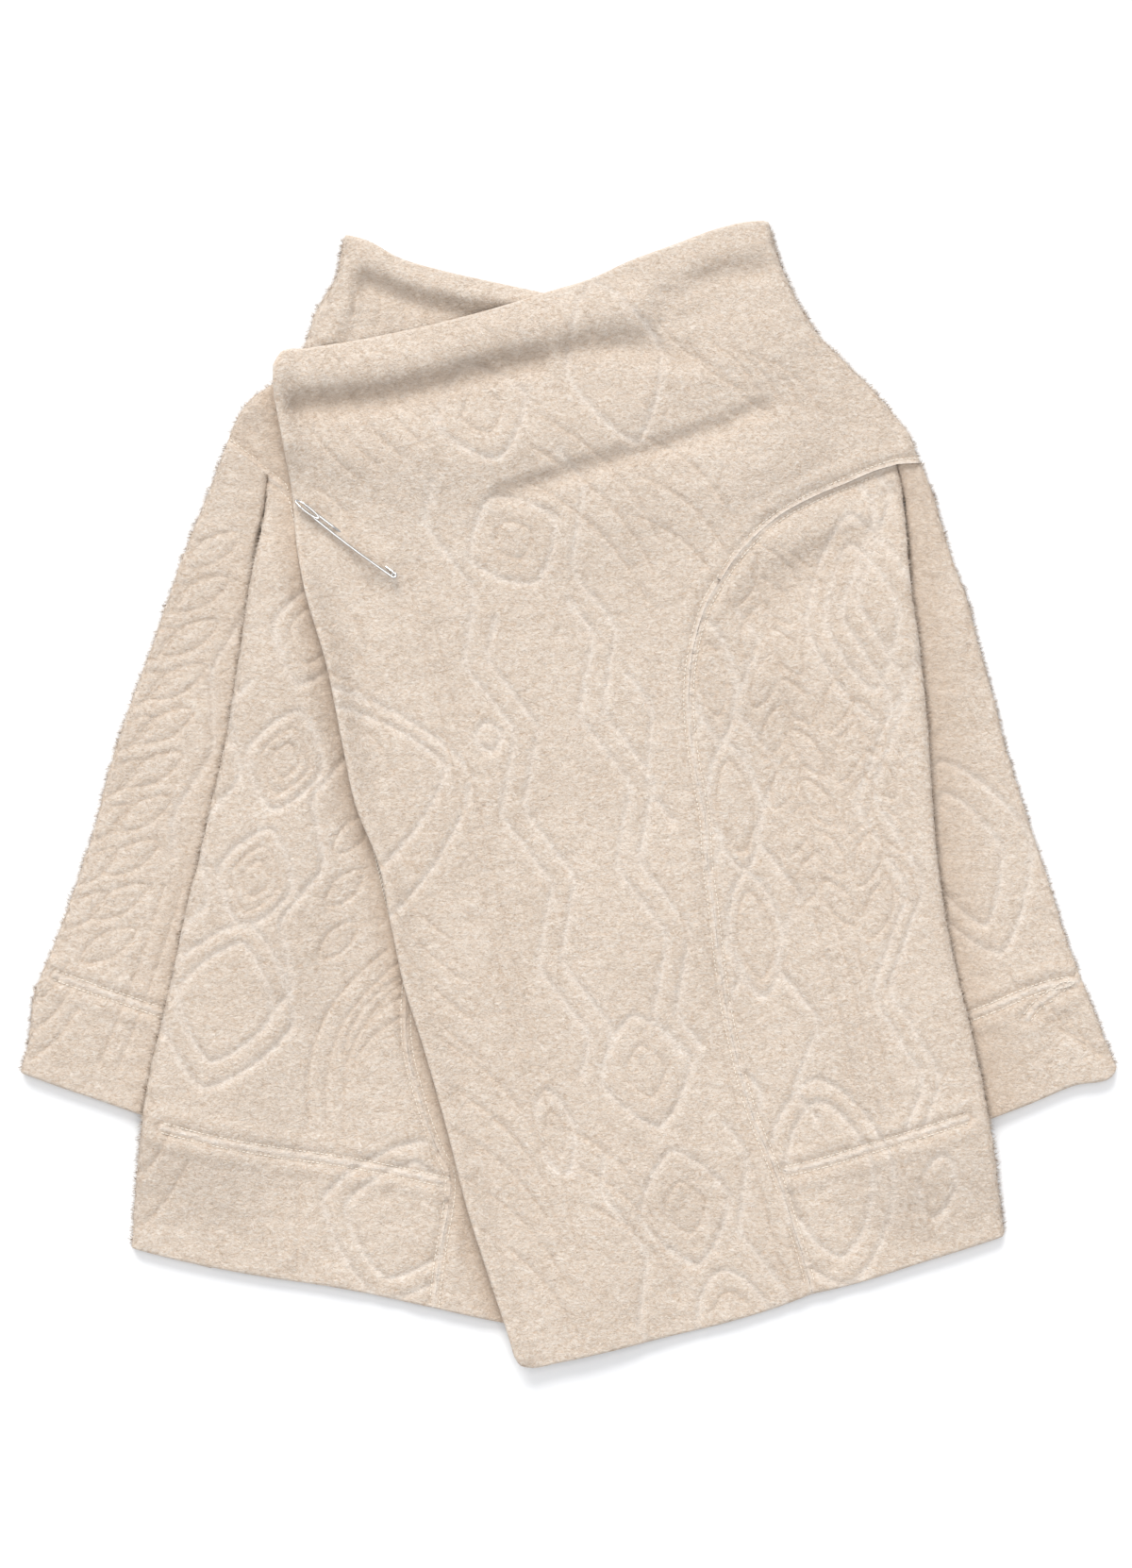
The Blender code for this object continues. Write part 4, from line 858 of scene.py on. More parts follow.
class Outline:
    """A panel's edges in plan, anticlockwise. An edge is (points, kind), and its kind is
    rim for a free edge, seam for a sewn one and fold where the cloth goes round."""

    def __init__(self, edges, fold_inset=FOLD_INSET, wrap=0.0):
        insets = {"rim": RIM_INSET, "seam": SEAM_GAP / 2, "fold": fold_inset}
        self.kinds = [kind for _, kind in edges]
        self.curves = [points for points, _ in edges]
        self.insets = [insets[kind] for kind in self.kinds]
        self.wrap = wrap
        self.lines = [self.line(k, self.insets[k]) for k in range(len(edges))]
        self.counts = [len(line) - 1 for line in self.lines]

    def line(self, k, inset):
        """Edge k moved inwards, running between its neighbours' own lines."""
        last, after = k - 1, (k + 1) % len(self.curves)
        this = self.curves[k] + inset * inward(self.curves[k])
        before = self.curves[last] + self.insets[last] * inward(self.curves[last])
        behind = self.curves[after] + self.insets[after] * inward(self.curves[after])
        start = crossing(this[0], this[1] - this[0], before[-1], before[-1] - before[-2])
        end = crossing(this[-1], this[-1] - this[-2], behind[0], behind[1] - behind[0])
        count = max(2, round(length_of(self.curves[k]) / EDGE_STEP))
        return spread(between(this, start, end), count)

    def key(self, k, i):
        if i == self.counts[k]:
            return ((k + 1) % len(self.curves), 0)
        return (k, i)

    def ring(self):
        """The outline's keys and points, once round."""
        keys = [(k, i) for k in range(len(self.lines)) for i in range(self.counts[k])]
        return keys, np.array([self.lines[k][i] for k, i in keys])

    def bulge(self, key):
        """How far the wall's middle stands out of a rim at this point of the outline."""
        if key[0] == "below":
            return self.bulge(key[1])
        if key[0] == "fold":
            _, k, i, _ = key
            after = (k + 1) % len(self.kinds)
            if i == 0 and self.kinds[k - 1] == "rim":
                return -RIM_INSET * inward(self.lines[k - 1])[-1]
            if i == self.counts[k] and self.kinds[after] == "rim":
                return -RIM_INSET * inward(self.lines[after])[0]
            return np.zeros(2)
        k, i = key
        out = -self.normals(k)[i] if self.kinds[k] == "rim" else np.zeros(2)
        if i == 0 and self.kinds[k - 1] == "rim":
            out = out - self.normals(k - 1)[-1]
        size = np.linalg.norm(out)
        return out * RIM_INSET / size if size > 0.5 else np.zeros(2)

    def normals(self, k):
        if not hasattr(self, "kept"):
            self.kept = [inward(line) for line in self.lines]
        return self.kept[k]


def lattice(outline, step):
    """Inner points for a panel, on a triangular lattice."""
    low, high = outline.min(axis=0), outline.max(axis=0)
    row_step = step * math.sqrt(3) / 2
    rows = np.arange(int((high[1] - low[1]) / row_step) + 1)
    columns = np.arange(int((high[0] - low[0]) / step) + 2)
    j, i = np.meshgrid(rows, columns, indexing="ij")
    x, y = low[0] + (i - 0.5 * (j % 2)) * step, low[1] + j * row_step
    points = np.column_stack([x.ravel(), y.ravel()])
    points = points[inside(points, outline)]
    return points[distance(points, closed(outline), step) > step * EDGE_SPACE]


def crease_net(lines, outline, shows):
    """Points and joins for the lines that lie inside an outline, clear of its edges: a
    middle row and one on each side."""
    points, joins = [], []
    for rough in lines:
        line = stepped_line(rough, NET_STEP)
        out = NET_HALF_WIDTH * inward(line)
        if np.allclose(line[0], line[-1]):
            out[0] = out[-1] = (out[0] + out[-1]) / 2
        safe = inside(line, outline) & shows(line)
        safe &= distance(line, closed(outline), 2 * FINE) > NET_HALF_WIDTH + NET_CLEAR
        for shift in (-1, 0, 1):
            row = line + shift * out
            for i in np.flatnonzero(safe[:-1] & safe[1:]):
                points += [row[i], row[i + 1]]
                joins.append((len(points) - 2, len(points) - 1))
    return np.array(points).reshape(-1, 2), joins


def add_patch(skin, name, keys, ring, inner, joins, height, flip=False):
    """Fills an outline with triangles at the height that a function gives."""
    fixed = len(keys)
    points = np.vstack([ring, inner])
    edges = [(i, (i + 1) % fixed) for i in range(fixed)]
    edges += [(a + fixed, b + fixed) for a, b in joins]
    found = delaunay_2d_cdt([Vector(p) for p in points], edges, [], 0, MERGE_DISTANCE)
    places = np.array([tuple(v) for v in found[0]])
    heights = height(places)
    numbers = []
    for i, place in enumerate(places):
        names = [keys[o] for o in found[3][i] if o < fixed]
        key = names[0] if names else (name, i)
        numbers.append(skin.point(key, (*place, heights[i])))
    faces = np.array([tuple(face) for face in found[2]])
    middles = places[faces].mean(axis=1)
    for face in faces[inside(middles, ring)]:
        corners = [numbers[i] for i in face]
        skin.faces.append(tuple(corners[::-1] if flip else corners))


def add_fold(skin, outline, k, top, bottom, wall, onward):
    """Takes the cloth round a fold and back below the panel. wall is 0 on the outer skin and
    the cloth's thickness on the inner one. onward gives the last row's keys on a tube, or is
    None where the cloth runs on to a seam on the back."""
    near = outline.lines[k]
    edge = outline.line(k, 0.0)
    reach = edge - near
    size = np.linalg.norm(reach, axis=1)[:, None]
    reach = reach * np.maximum(size - wall, INNER_FOLD) / size
    high, low = top(near) - wall, bottom(near) + wall
    rows = []
    for j in range(FOLD_ROWS + 1):
        turn = math.pi * j / FOLD_ROWS
        plan = near + reach * math.sin(turn)
        rows.append((plan, (high + low) / 2 + (high - low) / 2 * math.cos(turn)))
    if onward is None:
        seam = outline.line(k, outline.insets[k] + outline.wrap)
        flat_rows = max(1, round(outline.wrap / WRAP_STEP))
        for j in range(1, flat_rows + 1):
            plan = near + (seam - near) * j / flat_rows
            rows.append((plan, bottom(plan) + wall))
    last = len(rows) - 1
    numbers = []
    for j, (plan, heights) in enumerate(rows):
        line = []
        for i in range(len(plan)):
            key = ("fold", k, i, j)
            if j == 0:
                key = outline.key(k, i)
            elif j == last and onward is not None:
                key = onward(outline.key(k, i))
            line.append(skin.point(key, (*plan[i], heights[i])))
        numbers.append(line)
    for upper, lower in zip(numbers[:-1], numbers[1:]):
        for i in range(len(upper) - 1):
            skin.quad(upper[i], lower[i], lower[i + 1], upper[i + 1])


def join_skins(outer, inner, bulge):
    """One closed body: the outer skin, the inner skin turned over, and rounded edges."""
    body = Skin()
    body.points = list(outer.points) + list(inner.points)
    shift = len(outer.points)
    body.faces = list(outer.faces) + [tuple(i + shift for i in face[::-1]) for face in inner.faces]
    columns = {}

    def column(key):
        if key not in columns:
            a, b = np.array(outer.points[outer.index[key]]), np.array(inner.points[inner.index[key]])
            out = np.array([*bulge(key), 0.0])
            rows = [outer.index[key]]
            for j in range(1, RIM_ROWS):
                turn = math.pi * j / RIM_ROWS
                place = (a + b) / 2 + (a - b) / 2 * math.cos(turn) + out * math.sin(turn)
                rows.append(len(body.points))
                body.points.append(tuple(place))
            columns[key] = [*rows, inner.index[key] + shift]
        return columns[key]

    for start, end in outer.open_edges():
        right, left = column(end), column(start)
        for j in range(RIM_ROWS):
            body.quad(right[j], left[j], left[j + 1], right[j + 1])
    return body


def carve(top, relief):
    def carved(points):
        return top(points) + relief(points)

    return carved


def clear_of(points, lines):
    clear = np.ones(len(points), bool)
    for line in lines:
        reach = NET_HALF_WIDTH + FINE * NET_SPACE
        clear &= distance(points, stepped_line(line, NET_STEP), reach) >= reach
    return clear


def skin_points(ring, coarse, lines, shows):
    """An outer skin's inner points and joins: fine where it shows, coarse elsewhere."""
    if shows is None:
        return coarse, []
    net, joins = crease_net(lines, ring, shows)
    fine = lattice(ring, FINE)
    fine = fine[shows(fine)]
    if len(net):
        fine = fine[clear_of(fine, lines)]
    return np.vstack([net, fine, coarse[~shows(coarse)]]), joins


def add_folds(outer, inner, outline, carved, top, bottom, onward):
    for k, kind in enumerate(outline.kinds):
        if kind == "fold":
            add_fold(outer, outline, k, carved, bottom, 0.0, onward)
            add_fold(inner, outline, k, top, bottom, WALL, onward)


def panel(outline, top, bottom, relief, lines=(), shows=None):
    """A sheet of cloth with its relief in the outer skin, over a plain inside."""
    keys, ring = outline.ring()
    coarse = lattice(ring, COARSE)
    points, joins = skin_points(ring, coarse, lines, shows)
    outer, inner, carved = Skin(), Skin(), carve(top, relief)
    add_patch(outer, "outer", keys, ring, points, joins, carved)
    add_patch(inner, "inner", keys, ring, coarse, [], lambda p: top(p) - WALL)
    add_folds(outer, inner, outline, carved, top, bottom, None)
    return join_skins(outer, inner, outline.bulge), outer


def tube(outline, top, relief, lines, shows):
    """A sleeve laid flat: open at its rims, closed by its two folds."""

    def floor(points):
        return np.zeros(len(points))

    keys, ring = outline.ring()
    below_keys = [("below", key) for key in keys]
    coarse = lattice(ring, COARSE)
    points, joins = skin_points(ring, coarse, lines, shows)
    outer, inner, carved = Skin(), Skin(), carve(top, relief)
    add_patch(outer, "outer", keys, ring, points, joins, carved)
    add_patch(outer, "under", below_keys, ring, coarse, [], floor, flip=True)
    add_patch(inner, "inner", keys, ring, coarse, [], lambda p: top(p) - WALL)
    add_patch(inner, "inside", below_keys, ring, coarse, [], lambda p: floor(p) + WALL, flip=True)
    add_folds(outer, inner, outline, carved, top, floor, lambda key: ("below", key))
    return join_skins(outer, inner, outline.bulge), outer


# ---------------------------------------------------------------- relief


class Relief:
    """What is pressed and sewn into a piece's outer skin, seen from above."""

    def __init__(self, piece, seams=(), stitches=()):
        self.piece = piece
        self.channels, self.creases = pattern_lines(piece)
        self.seams = [curve(rows, CREST_STEP) for rows in seams] + list(stitches)
        self.lines = self.channels + self.creases

    def measure(self, points):
        """Height, how pale the cloth's own tint is, and how much shade is painted on it, at each point."""
        height, pale, painted_shade = (np.zeros(len(points)) for _ in range(3))
        channel, crease = np.ones(len(points)), np.ones(len(points))
        for line in self.channels:
            channel = np.minimum(channel, distance(points, line, CHANNEL[0]) / CHANNEL[0])
        for line in self.creases:
            crease = np.minimum(crease, distance(points, line, CREASE[0]) / CREASE[0])
        height -= np.maximum(CHANNEL[1] * bell(channel), CREASE[1] * bell(crease))
        pale += bell(channel) * (1 - bell(crease))
        # Painted shade in the thin creases.
        painted_shade += CREASE_PAINTED_SHADE * bell(crease) ** 2
        # Painted shade in troughs, more in deeper ones, and beside edges that lie on the cloth.
        own = ROLLS.get(self.piece, ())
        hollows = [(wide, -HOLLOW_PAINTED_SHADE * rise, rows) for wide, rise, rows in own if rise < 0]
        for half_width, share, rows in hollows + PAINTED_EDGE_SHADE.get(self.piece, []):
            painted_shade = np.maximum(painted_shade, share * ridge(points, curve(rows, CREST_STEP), half_width))
        for line in self.seams:
            away = distance(points, line, SEAM_REACH)
            height += seam_profile(away)
            valley = bell((away - STITCH_ROW) / STITCH_VALLEY)
            pale = np.maximum(pale, SEAM_PALE * bell(away / STITCH_ROW))
            # Painted shade in the valleys of the stitch rows.
            painted_shade = np.maximum(painted_shade, SEAM_PAINTED_SHADE * valley)
        return height, pale, painted_shade

    def sewn(self, points):
        """1 between two rows of stitches, 0 away from them."""
        found = np.zeros(len(points))
        for line in self.seams:
            away = distance(points, line, 2 * STITCH_ROW)
            found = np.maximum(found, smoothstep(2 * (1 - away / (2 * STITCH_ROW))))
        return found

    def height(self, points):
        return self.measure(points)[0]


# ---------------------------------------------------------------- the pieces

FRONT_UPPER = Outline(
    [
        (curve(FREE_EDGE), "rim"),
        (curve(UPPER_HEM), "rim"),
        (curve(RAGLAN_UPPER[RAGLAN_UPPER_SPLIT:])[::-1], "seam"),
        (curve(RAGLAN_UPPER[: RAGLAN_UPPER_SPLIT + 1])[::-1], "seam"),
        (curve(SHOULDER_UPPER), "fold"),
        (curve(COLLAR_UPPER), "rim"),
    ],
    wrap=SHOULDER_WRAP,
)
FRONT_UNDER = Outline(
    [
        (curve(SHOULDER_UNDER), "fold"),
        (curve(RAGLAN_UNDER[: RAGLAN_UNDER_SPLIT + 1]), "seam"),
        (curve(RAGLAN_UNDER[RAGLAN_UNDER_SPLIT:]), "seam"),
        (curve(UNDER_HEM), "rim"),
        (curve(UNDER_EDGE), "rim"),
        (curve(UNDER_COLLAR), "rim"),
    ],
    wrap=SHOULDER_WRAP,
)
SIDE_UPPER = Outline(
    [
        (curve(RAGLAN_UPPER[RAGLAN_UPPER_SPLIT:]), "seam"),
        (curve(SIDE_UPPER_HEM), "rim"),
        (curve(SIDE_UPPER_FOLD)[::-1], "fold"),
    ],
    wrap=SIDE_WRAP,
)
SIDE_UNDER = Outline(
    [
        (curve(SIDE_UNDER_FOLD), "fold"),
        (curve(SIDE_UNDER_HEM), "rim"),
        (curve(RAGLAN_UNDER[RAGLAN_UNDER_SPLIT:])[::-1], "seam"),
    ],
    wrap=SIDE_WRAP,
)
SLEEVE_LEFT = Outline(
    [
        (curve(SLEEVE_LEFT_INNER), "fold"),
        (curve(SLEEVE_LEFT_CUFF), "rim"),
        (curve(SLEEVE_LEFT_OUTER)[::-1], "fold"),
        (curve(RAGLAN_UPPER[: RAGLAN_UPPER_SPLIT + 1]), "seam"),
    ],
    fold_inset=SLEEVE_FOLD_INSET,
)
SLEEVE_RIGHT = Outline(
    [
        (curve(SLEEVE_RIGHT_OUTER), "fold"),
        (curve(SLEEVE_RIGHT_CUFF), "rim"),
        (curve(SLEEVE_RIGHT_INNER)[::-1], "fold"),
        (curve(RAGLAN_UNDER[: RAGLAN_UNDER_SPLIT + 1])[::-1], "seam"),
    ],
    fold_inset=SLEEVE_FOLD_INSET,
)


def wrap_seam(outline, k):
    """Where a fold's cloth ends on the back, as the back panel's own edge."""
    line = outline.line(k, outline.insets[k] + outline.wrap)
    return line + SEAM_GAP / 2 * inward(line)


def armhole(rows, split):
    """The raglan seam on the back: straight on from where the sleeve ends, past the cloth
    that the side panel folds back."""
    line = curve(rows[split:])
    onward = (line[1] - line[0]) / np.linalg.norm(line[1] - line[0])
    reach = ARMHOLE_REACH * SIDE_WRAP * onward
    return np.vstack([curve(rows[: split + 1])[:-1], line[:1], line[:1] + reach])


BACK = Outline([
    (wrap_seam(FRONT_UNDER, 0), "seam"),
    (armhole(RAGLAN_UNDER, RAGLAN_UNDER_SPLIT), "seam"),
    (wrap_seam(SIDE_UNDER, 0), "seam"),
    (curve(BACK_HEM), "rim"),
    (wrap_seam(SIDE_UPPER, 2), "seam"),
    (armhole(RAGLAN_UPPER, RAGLAN_UPPER_SPLIT)[::-1], "seam"),
    (wrap_seam(FRONT_UPPER, 4), "seam"),
    (curve(BACK_COLLAR), "rim"),
])


def whole(points):
    return np.ones(len(points), bool)


def uncovered(*covers):
    """Says where a piece isn't hidden by the ones that lie on it, and a little further."""

    def shows(points):
        found = np.ones(len(points), bool)
        for cover in covers:
            ring = cover.ring()[1]
            near_edge = distance(points, closed(ring), HIDDEN_MARGIN) < HIDDEN_MARGIN
            found &= ~inside(points, ring) | near_edge
        return found

    return shows


# ---------------------------------------------------------------- Blender objects


def linked(name, data):
    thing = bpy.data.objects.new(name, data)
    bpy.context.collection.objects.link(thing)
    return thing


def add_mesh(name, points, faces, material):
    """A mesh object from points in millimetres."""
    mesh = bpy.data.meshes.new(name)
    places = (np.array(points) - (*CENTRE, 0.0)) / 1000
    mesh.from_pydata(places.tolist(), [], faces)
    mesh.update()
    mesh.materials.append(material)
    mesh.shade_smooth()
    return linked(name, mesh)


def vertex_normals(points, faces):
    corners = points[faces]
    across = np.cross(corners[:, 1] - corners[:, 0], corners[:, 2] - corners[:, 0])
    normals = np.zeros_like(points)
    for k in range(3):
        np.add.at(normals, faces[:, k], across)
    return normals / np.maximum(np.linalg.norm(normals, axis=1), TINY)[:, None]


def add_values(mesh, label, values):
    layer = mesh.attributes.new(label, "FLOAT", "POINT")
    layer.data.foreach_set("value", np.asarray(values, np.float32))


def cloth(name, body, outer, relief):
    """A sheet's mesh, with the lumps of its plush, its own pale tint and its painted shade. Gives back
    what its pile grows on as well: the outer skin's points, normals and faces."""
    points, faces = np.array(body.points), np.array(body.faces)
    count, skin_faces = len(outer.points), len(outer.faces)
    normals = vertex_normals(points, faces)
    lumps = sum(
        rise * noise(points[:count] * stretch, size, seed)
        for seed, (size, rise, stretch) in enumerate(LUMPS, start=LUMP_SEED)
    )
    clear = smoothstep((points[:count, 2] - LUMPS_FROM) / LUMPS_SLOPE)
    points[:count] += normals[:count] * (lumps * clear)[:, None]
    points[:, 2] = np.maximum(points[:, 2], 0.0)
    thing = add_mesh(name, points, body.faces, PLUSH)
    _, pale, painted_shade = relief.measure(points[:, :2])
    facing = smoothstep(normals[:, 2] / FACING_SLOPE)
    add_values(thing.data, "pale", pale * facing)
    # Painted shade, faded out on steep cloth.
    add_values(thing.data, "painted_shade", painted_shade * facing)
    thing.data.set_sharp_from_angle(angle=math.radians(SHARP_ANGLE))
    return thing, (points, normals, faces[:skin_faces])


def add_pile(name, skin, relief, shows, seed):
    """Short tufts that lie along the cloth, in soft waves, with their tips a little up."""
    points, normals, faces = skin
    middles = points[faces].mean(axis=1)
    grows = shows(middles[:, :2]) & (middles[:, 2] > PILE_FROM)
    faces = faces[grows]
    a, b, c = (points[faces[:, k]] for k in range(3))
    areas = np.linalg.norm(np.cross(b - a, c - a), axis=1) / 2
    chance = np.random.default_rng(seed)
    count = int(areas.sum() * PILE_DENSITY)
    chosen = np.searchsorted(np.cumsum(areas), chance.uniform(0, areas.sum(), count))
    chosen = np.minimum(chosen, len(faces) - 1)
    u, v = chance.uniform(0, 1, (2, count))
    u, v = np.where(u + v > 1, 1 - u, u), np.where(u + v > 1, 1 - v, v)
    shares = np.column_stack([1 - u - v, u, v])
    corners = faces[chosen]
    base = (points[corners] * shares[:, :, None]).sum(axis=1)
    up = (normals[corners] * shares[:, :, None]).sum(axis=1)
    up /= np.linalg.norm(up, axis=1)[:, None]
    angle = chance.normal(0, PILE_SPREAD, count)
    angle += PILE_WAVE * noise(base[:, :2], PILE_WAVE_SIZE, seed + 1)
    angle += math.pi * chance.integers(0, 2, count)
    ahead = np.column_stack([np.cos(angle), np.sin(angle), np.zeros(count)])
    ahead -= up * (ahead * up).sum(axis=1)[:, None]
    ahead /= np.maximum(np.linalg.norm(ahead, axis=1), 0.1)[:, None]
    flat = np.clip(up[:, 2], 0, 1)
    rise = (chance.uniform(*PILE_RISE, count) + RIM_RISE * (1 - flat))[:, None]
    size = chance.uniform(*PILE_LENGTH, count) * (1 + RIM_LENGTH * (1 - flat))
    size = (size * (1 - SEWN_PILE * relief.sewn(base[:, :2])))[:, None]
    tip = base + size * (ahead * np.cos(rise) + up * np.sin(rise))
    side = np.cross(up, ahead) * (PILE_WIDTH / 2) * chance.uniform(*PILE_WIDTH_RANGE, count)[:, None]
    places = np.stack([base + side, base - side, tip], axis=1).reshape(-1, 3)
    places[:, 2] = np.maximum(places[:, 2], 0.0)
    triangles = np.arange(3 * count).reshape(-1, 3)
    thing = add_mesh(name, places, triangles.tolist(), PILE)
    thing.data.normals_split_custom_set_from_vertices(np.repeat(up, 3, axis=0).tolist())
    _, pale, painted_shade = relief.measure(base[:, :2])
    facing = smoothstep(up[:, 2] / FACING_SLOPE)
    add_values(thing.data, "fleck", np.repeat(chance.uniform(0, 1, count), 3))
    add_values(thing.data, "pale", np.repeat(pale * facing, 3))
    # Painted shade on the tufts, as on the cloth below them.
    add_values(thing.data, "painted_shade", np.repeat(painted_shade * facing, 3))
    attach(thing, "root")


def node(tree, kind, **settings):
    made = tree.nodes.new(kind)
    for key, value in settings.items():
        setattr(made, key, value)
    return made


def fill(made, **values):
    for key, value in values.items():
        made.inputs[key.replace("_", " ")].default_value = value


def noise_node(tree, place, scale, detail, distortion=0.0):
    made = node(tree, "ShaderNodeTexNoise")
    fill(made, Scale=scale, Detail=detail, Roughness=0.6, Distortion=distortion)
    tree.links.new(place, made.inputs["Vector"])
    return made.outputs["Fac"]


def ramp_node(tree, factor, stops):
    made = node(tree, "ShaderNodeValToRGB")
    bands = made.color_ramp
    while len(bands.elements) < len(stops):
        bands.elements.new(0.5)
    for element, (place, colour) in zip(bands.elements, stops):
        element.position = place
        element.color = (*colour, 1)
    tree.links.new(factor, made.inputs["Fac"])
    return made.outputs["Color"]


def mix_node(tree, factor, first, second, blend="MIX"):
    made = node(tree, "ShaderNodeMix", data_type="RGBA", blend_type=blend)
    sockets = {s.identifier: s for s in made.inputs}
    for key, value in (("Factor_Float", factor), ("A_Color", first), ("B_Color", second)):
        if isinstance(value, (float, tuple)):
            sockets[key].default_value = value if isinstance(value, float) else (*value, 1)
        else:
            tree.links.new(value, sockets[key])
    return next(s for s in made.outputs if s.identifier == "Result_Color")


def scaled(tree, value, factor):
    made = node(tree, "ShaderNodeMath", operation="MULTIPLY", use_clamp=True)
    tree.links.new(value, made.inputs[0])
    made.inputs[1].default_value = factor
    return made.outputs[0]


def bump_node(tree, height, distance_m, strength, under=None):
    made = node(tree, "ShaderNodeBump")
    fill(made, Distance=distance_m, Strength=strength)
    tree.links.new(height, made.inputs["Height"])
    if under is not None:
        tree.links.new(under, made.inputs["Normal"])
    return made.outputs["Normal"]


def tinted(tree, colour, mottle, cloud):
    """Soft patches, the pressed lines' own pale tint, and painted shade."""
    colour = mix_node(tree, 1.0, colour, ramp_node(tree, mottle, MOTTLE_STOPS), "MULTIPLY")
    colour = mix_node(tree, 1.0, colour, ramp_node(tree, cloud, CLOUD_STOPS), "MULTIPLY")
    # Mixes in the lines' own pale tint, then the painted shade.
    for label, tint, strength in (("pale", PALE_TINT, PALE_SHARE), ("painted_shade", PAINTED_SHADE_TINT, PAINTED_SHADE_SHARE)):
        line = node(tree, "ShaderNodeAttribute", attribute_name=label).outputs["Fac"]
        colour = mix_node(tree, scaled(tree, line, strength), colour, tint)
    return colour


def start_material(name):
    made = bpy.data.materials.new(name)
    made.use_nodes = True
    tree = made.node_tree
    coordinates = node(tree, "ShaderNodeTexCoord").outputs["Object"]
    return made, tree, tree.nodes["Principled BSDF"], coordinates


def pile_material(name):
    """The same plush, on its single tufts."""
    made, tree, shader, coordinates = start_material(name)
    fleck = node(tree, "ShaderNodeAttribute", attribute_name="fleck").outputs["Fac"]
    mottle = noise_node(tree, coordinates, *MOTTLE)
    cloud = noise_node(tree, coordinates, *CLOUD)
    colour = tinted(tree, ramp_node(tree, fleck, FLECK_STOPS), mottle, cloud)
    tree.links.new(colour, shader.inputs["Base Color"])
    fill(shader, Roughness=0.9, Specular_IOR_Level=0.1)
    return made


def plush_material(name):
    """Brushed melange plush: short crinkled pile with tan flecks in cream."""
    made, tree, shader, coordinates = start_material(name)
    squeezed = node(tree, "ShaderNodeMapping")
    squeezed.inputs["Scale"].default_value = CRINKLE_STRETCH
    tree.links.new(coordinates, squeezed.inputs["Vector"])
    crinkle = noise_node(tree, squeezed.outputs["Vector"], *CRINKLE)
    curls, mottle, cloud = (noise_node(tree, coordinates, *n) for n in (CURLS, MOTTLE, CLOUD))
    colour = tinted(tree, ramp_node(tree, crinkle, PILE_STOPS), mottle, cloud)
    tree.links.new(colour, shader.inputs["Base Color"])
    normal = None
    for height, bump in zip((mottle, curls, crinkle), PLUSH_BUMPS):
        normal = bump_node(tree, height, *bump, normal)
    tree.links.new(normal, shader.inputs["Normal"])
    fill(shader, Roughness=0.95, Specular_IOR_Level=0.15)
    fill(shader, Sheen_Weight=0.25, Sheen_Roughness=0.6, Sheen_Tint=(1.0, 0.95, 0.88, 1))
    return made


def grained_material(name, grain, stops, bump, roughness, metallic):
    """A fine grain, in colour and in height."""
    made, tree, shader, coordinates = start_material(name)
    height = noise_node(tree, coordinates, *grain)
    tree.links.new(ramp_node(tree, height, stops), shader.inputs["Base Color"])
    tree.links.new(bump_node(tree, height, *bump), shader.inputs["Normal"])
    fill(shader, Roughness=roughness, Metallic=metallic)
    return made


PLUSH = plush_material("plush")
PILE = pile_material("pile")
THREAD = grained_material("thread", (1400.0, 2.0), THREAD_STOPS, (0.0001, 0.6), 0.7, 0.0)
METAL = grained_material("pin_metal", (900.0, 3.0), METAL_STOPS, (0.00005, 0.3), 0.18, 1.0)


def threads(name, lines, height):
    """Short stitches that lie end to end along lines in plan, on a height."""
    points, faces = [], []
    around = 2 * math.pi * np.arange(THREAD_SIDES) / THREAD_SIDES
    for line in lines:
        line = stepped_line(line, THREAD_PITCH)
        middles = (line[1:] + line[:-1]) / 2
        along = np.diff(line, axis=0)
        along /= np.linalg.norm(along, axis=1)[:, None]
        ends = [height(middles + part * THREAD_LENGTH * along) for part in (-0.5, 0.5)]
        middle_heights = height(middles) + THREAD_LIFT
        for k, (middle, ahead) in enumerate(zip(middles, along)):
            side = np.array([-ahead[1], ahead[0]])
            slope = (ends[1][k] - ends[0][k]) / THREAD_LENGTH
            first = len(points)
            for part, size in THREAD_RINGS:
                far = part * THREAD_LENGTH
                for a in around:
                    place = middle + far * ahead + THREAD_WIDTH / 2 * size * math.cos(a) * side
                    z = middle_heights[k] + far * slope + THREAD_WIDTH / 2 * size * math.sin(a)
                    points.append((*place, z))
            for ring in range(len(THREAD_RINGS) - 1):
                for i in range(THREAD_SIDES):
                    row = first + ring * THREAD_SIDES
                    a, b = row + i, row + (i + 1) % THREAD_SIDES
                    faces.append((a, b, b + THREAD_SIDES, a + THREAD_SIDES))
            last = first + (len(THREAD_RINGS) - 1) * THREAD_SIDES
            faces.append(tuple(first + i for i in reversed(range(THREAD_SIDES))))
            faces.append(tuple(last + i for i in range(THREAD_SIDES)))
    return points, faces


# ---------------------------------------------------------------- kilt pin


def pin_frame():
    """The pin's start, its direction and its side direction, towards the arm."""
    start, end = np.array(PIN_CLASP_END), np.array(PIN_COIL)
    along = (end - start) / np.linalg.norm(end - start)
    return start, along, np.array([-along[1], along[0]]), float(np.linalg.norm(end - start))


def pin_place(along_mm, side_mm):
    start, along, side, _ = pin_frame()
    return start + along * along_mm + side * side_mm


def pin_hidden_line():
    length = pin_frame()[3]
    half = HOLE_LENGTH / 2
    first, last = HOLES_ALONG[0] * length + half, HOLES_ALONG[1] * length - half
    return np.array([pin_place(first, PIN_SPREAD), pin_place(last, PIN_SPREAD)])


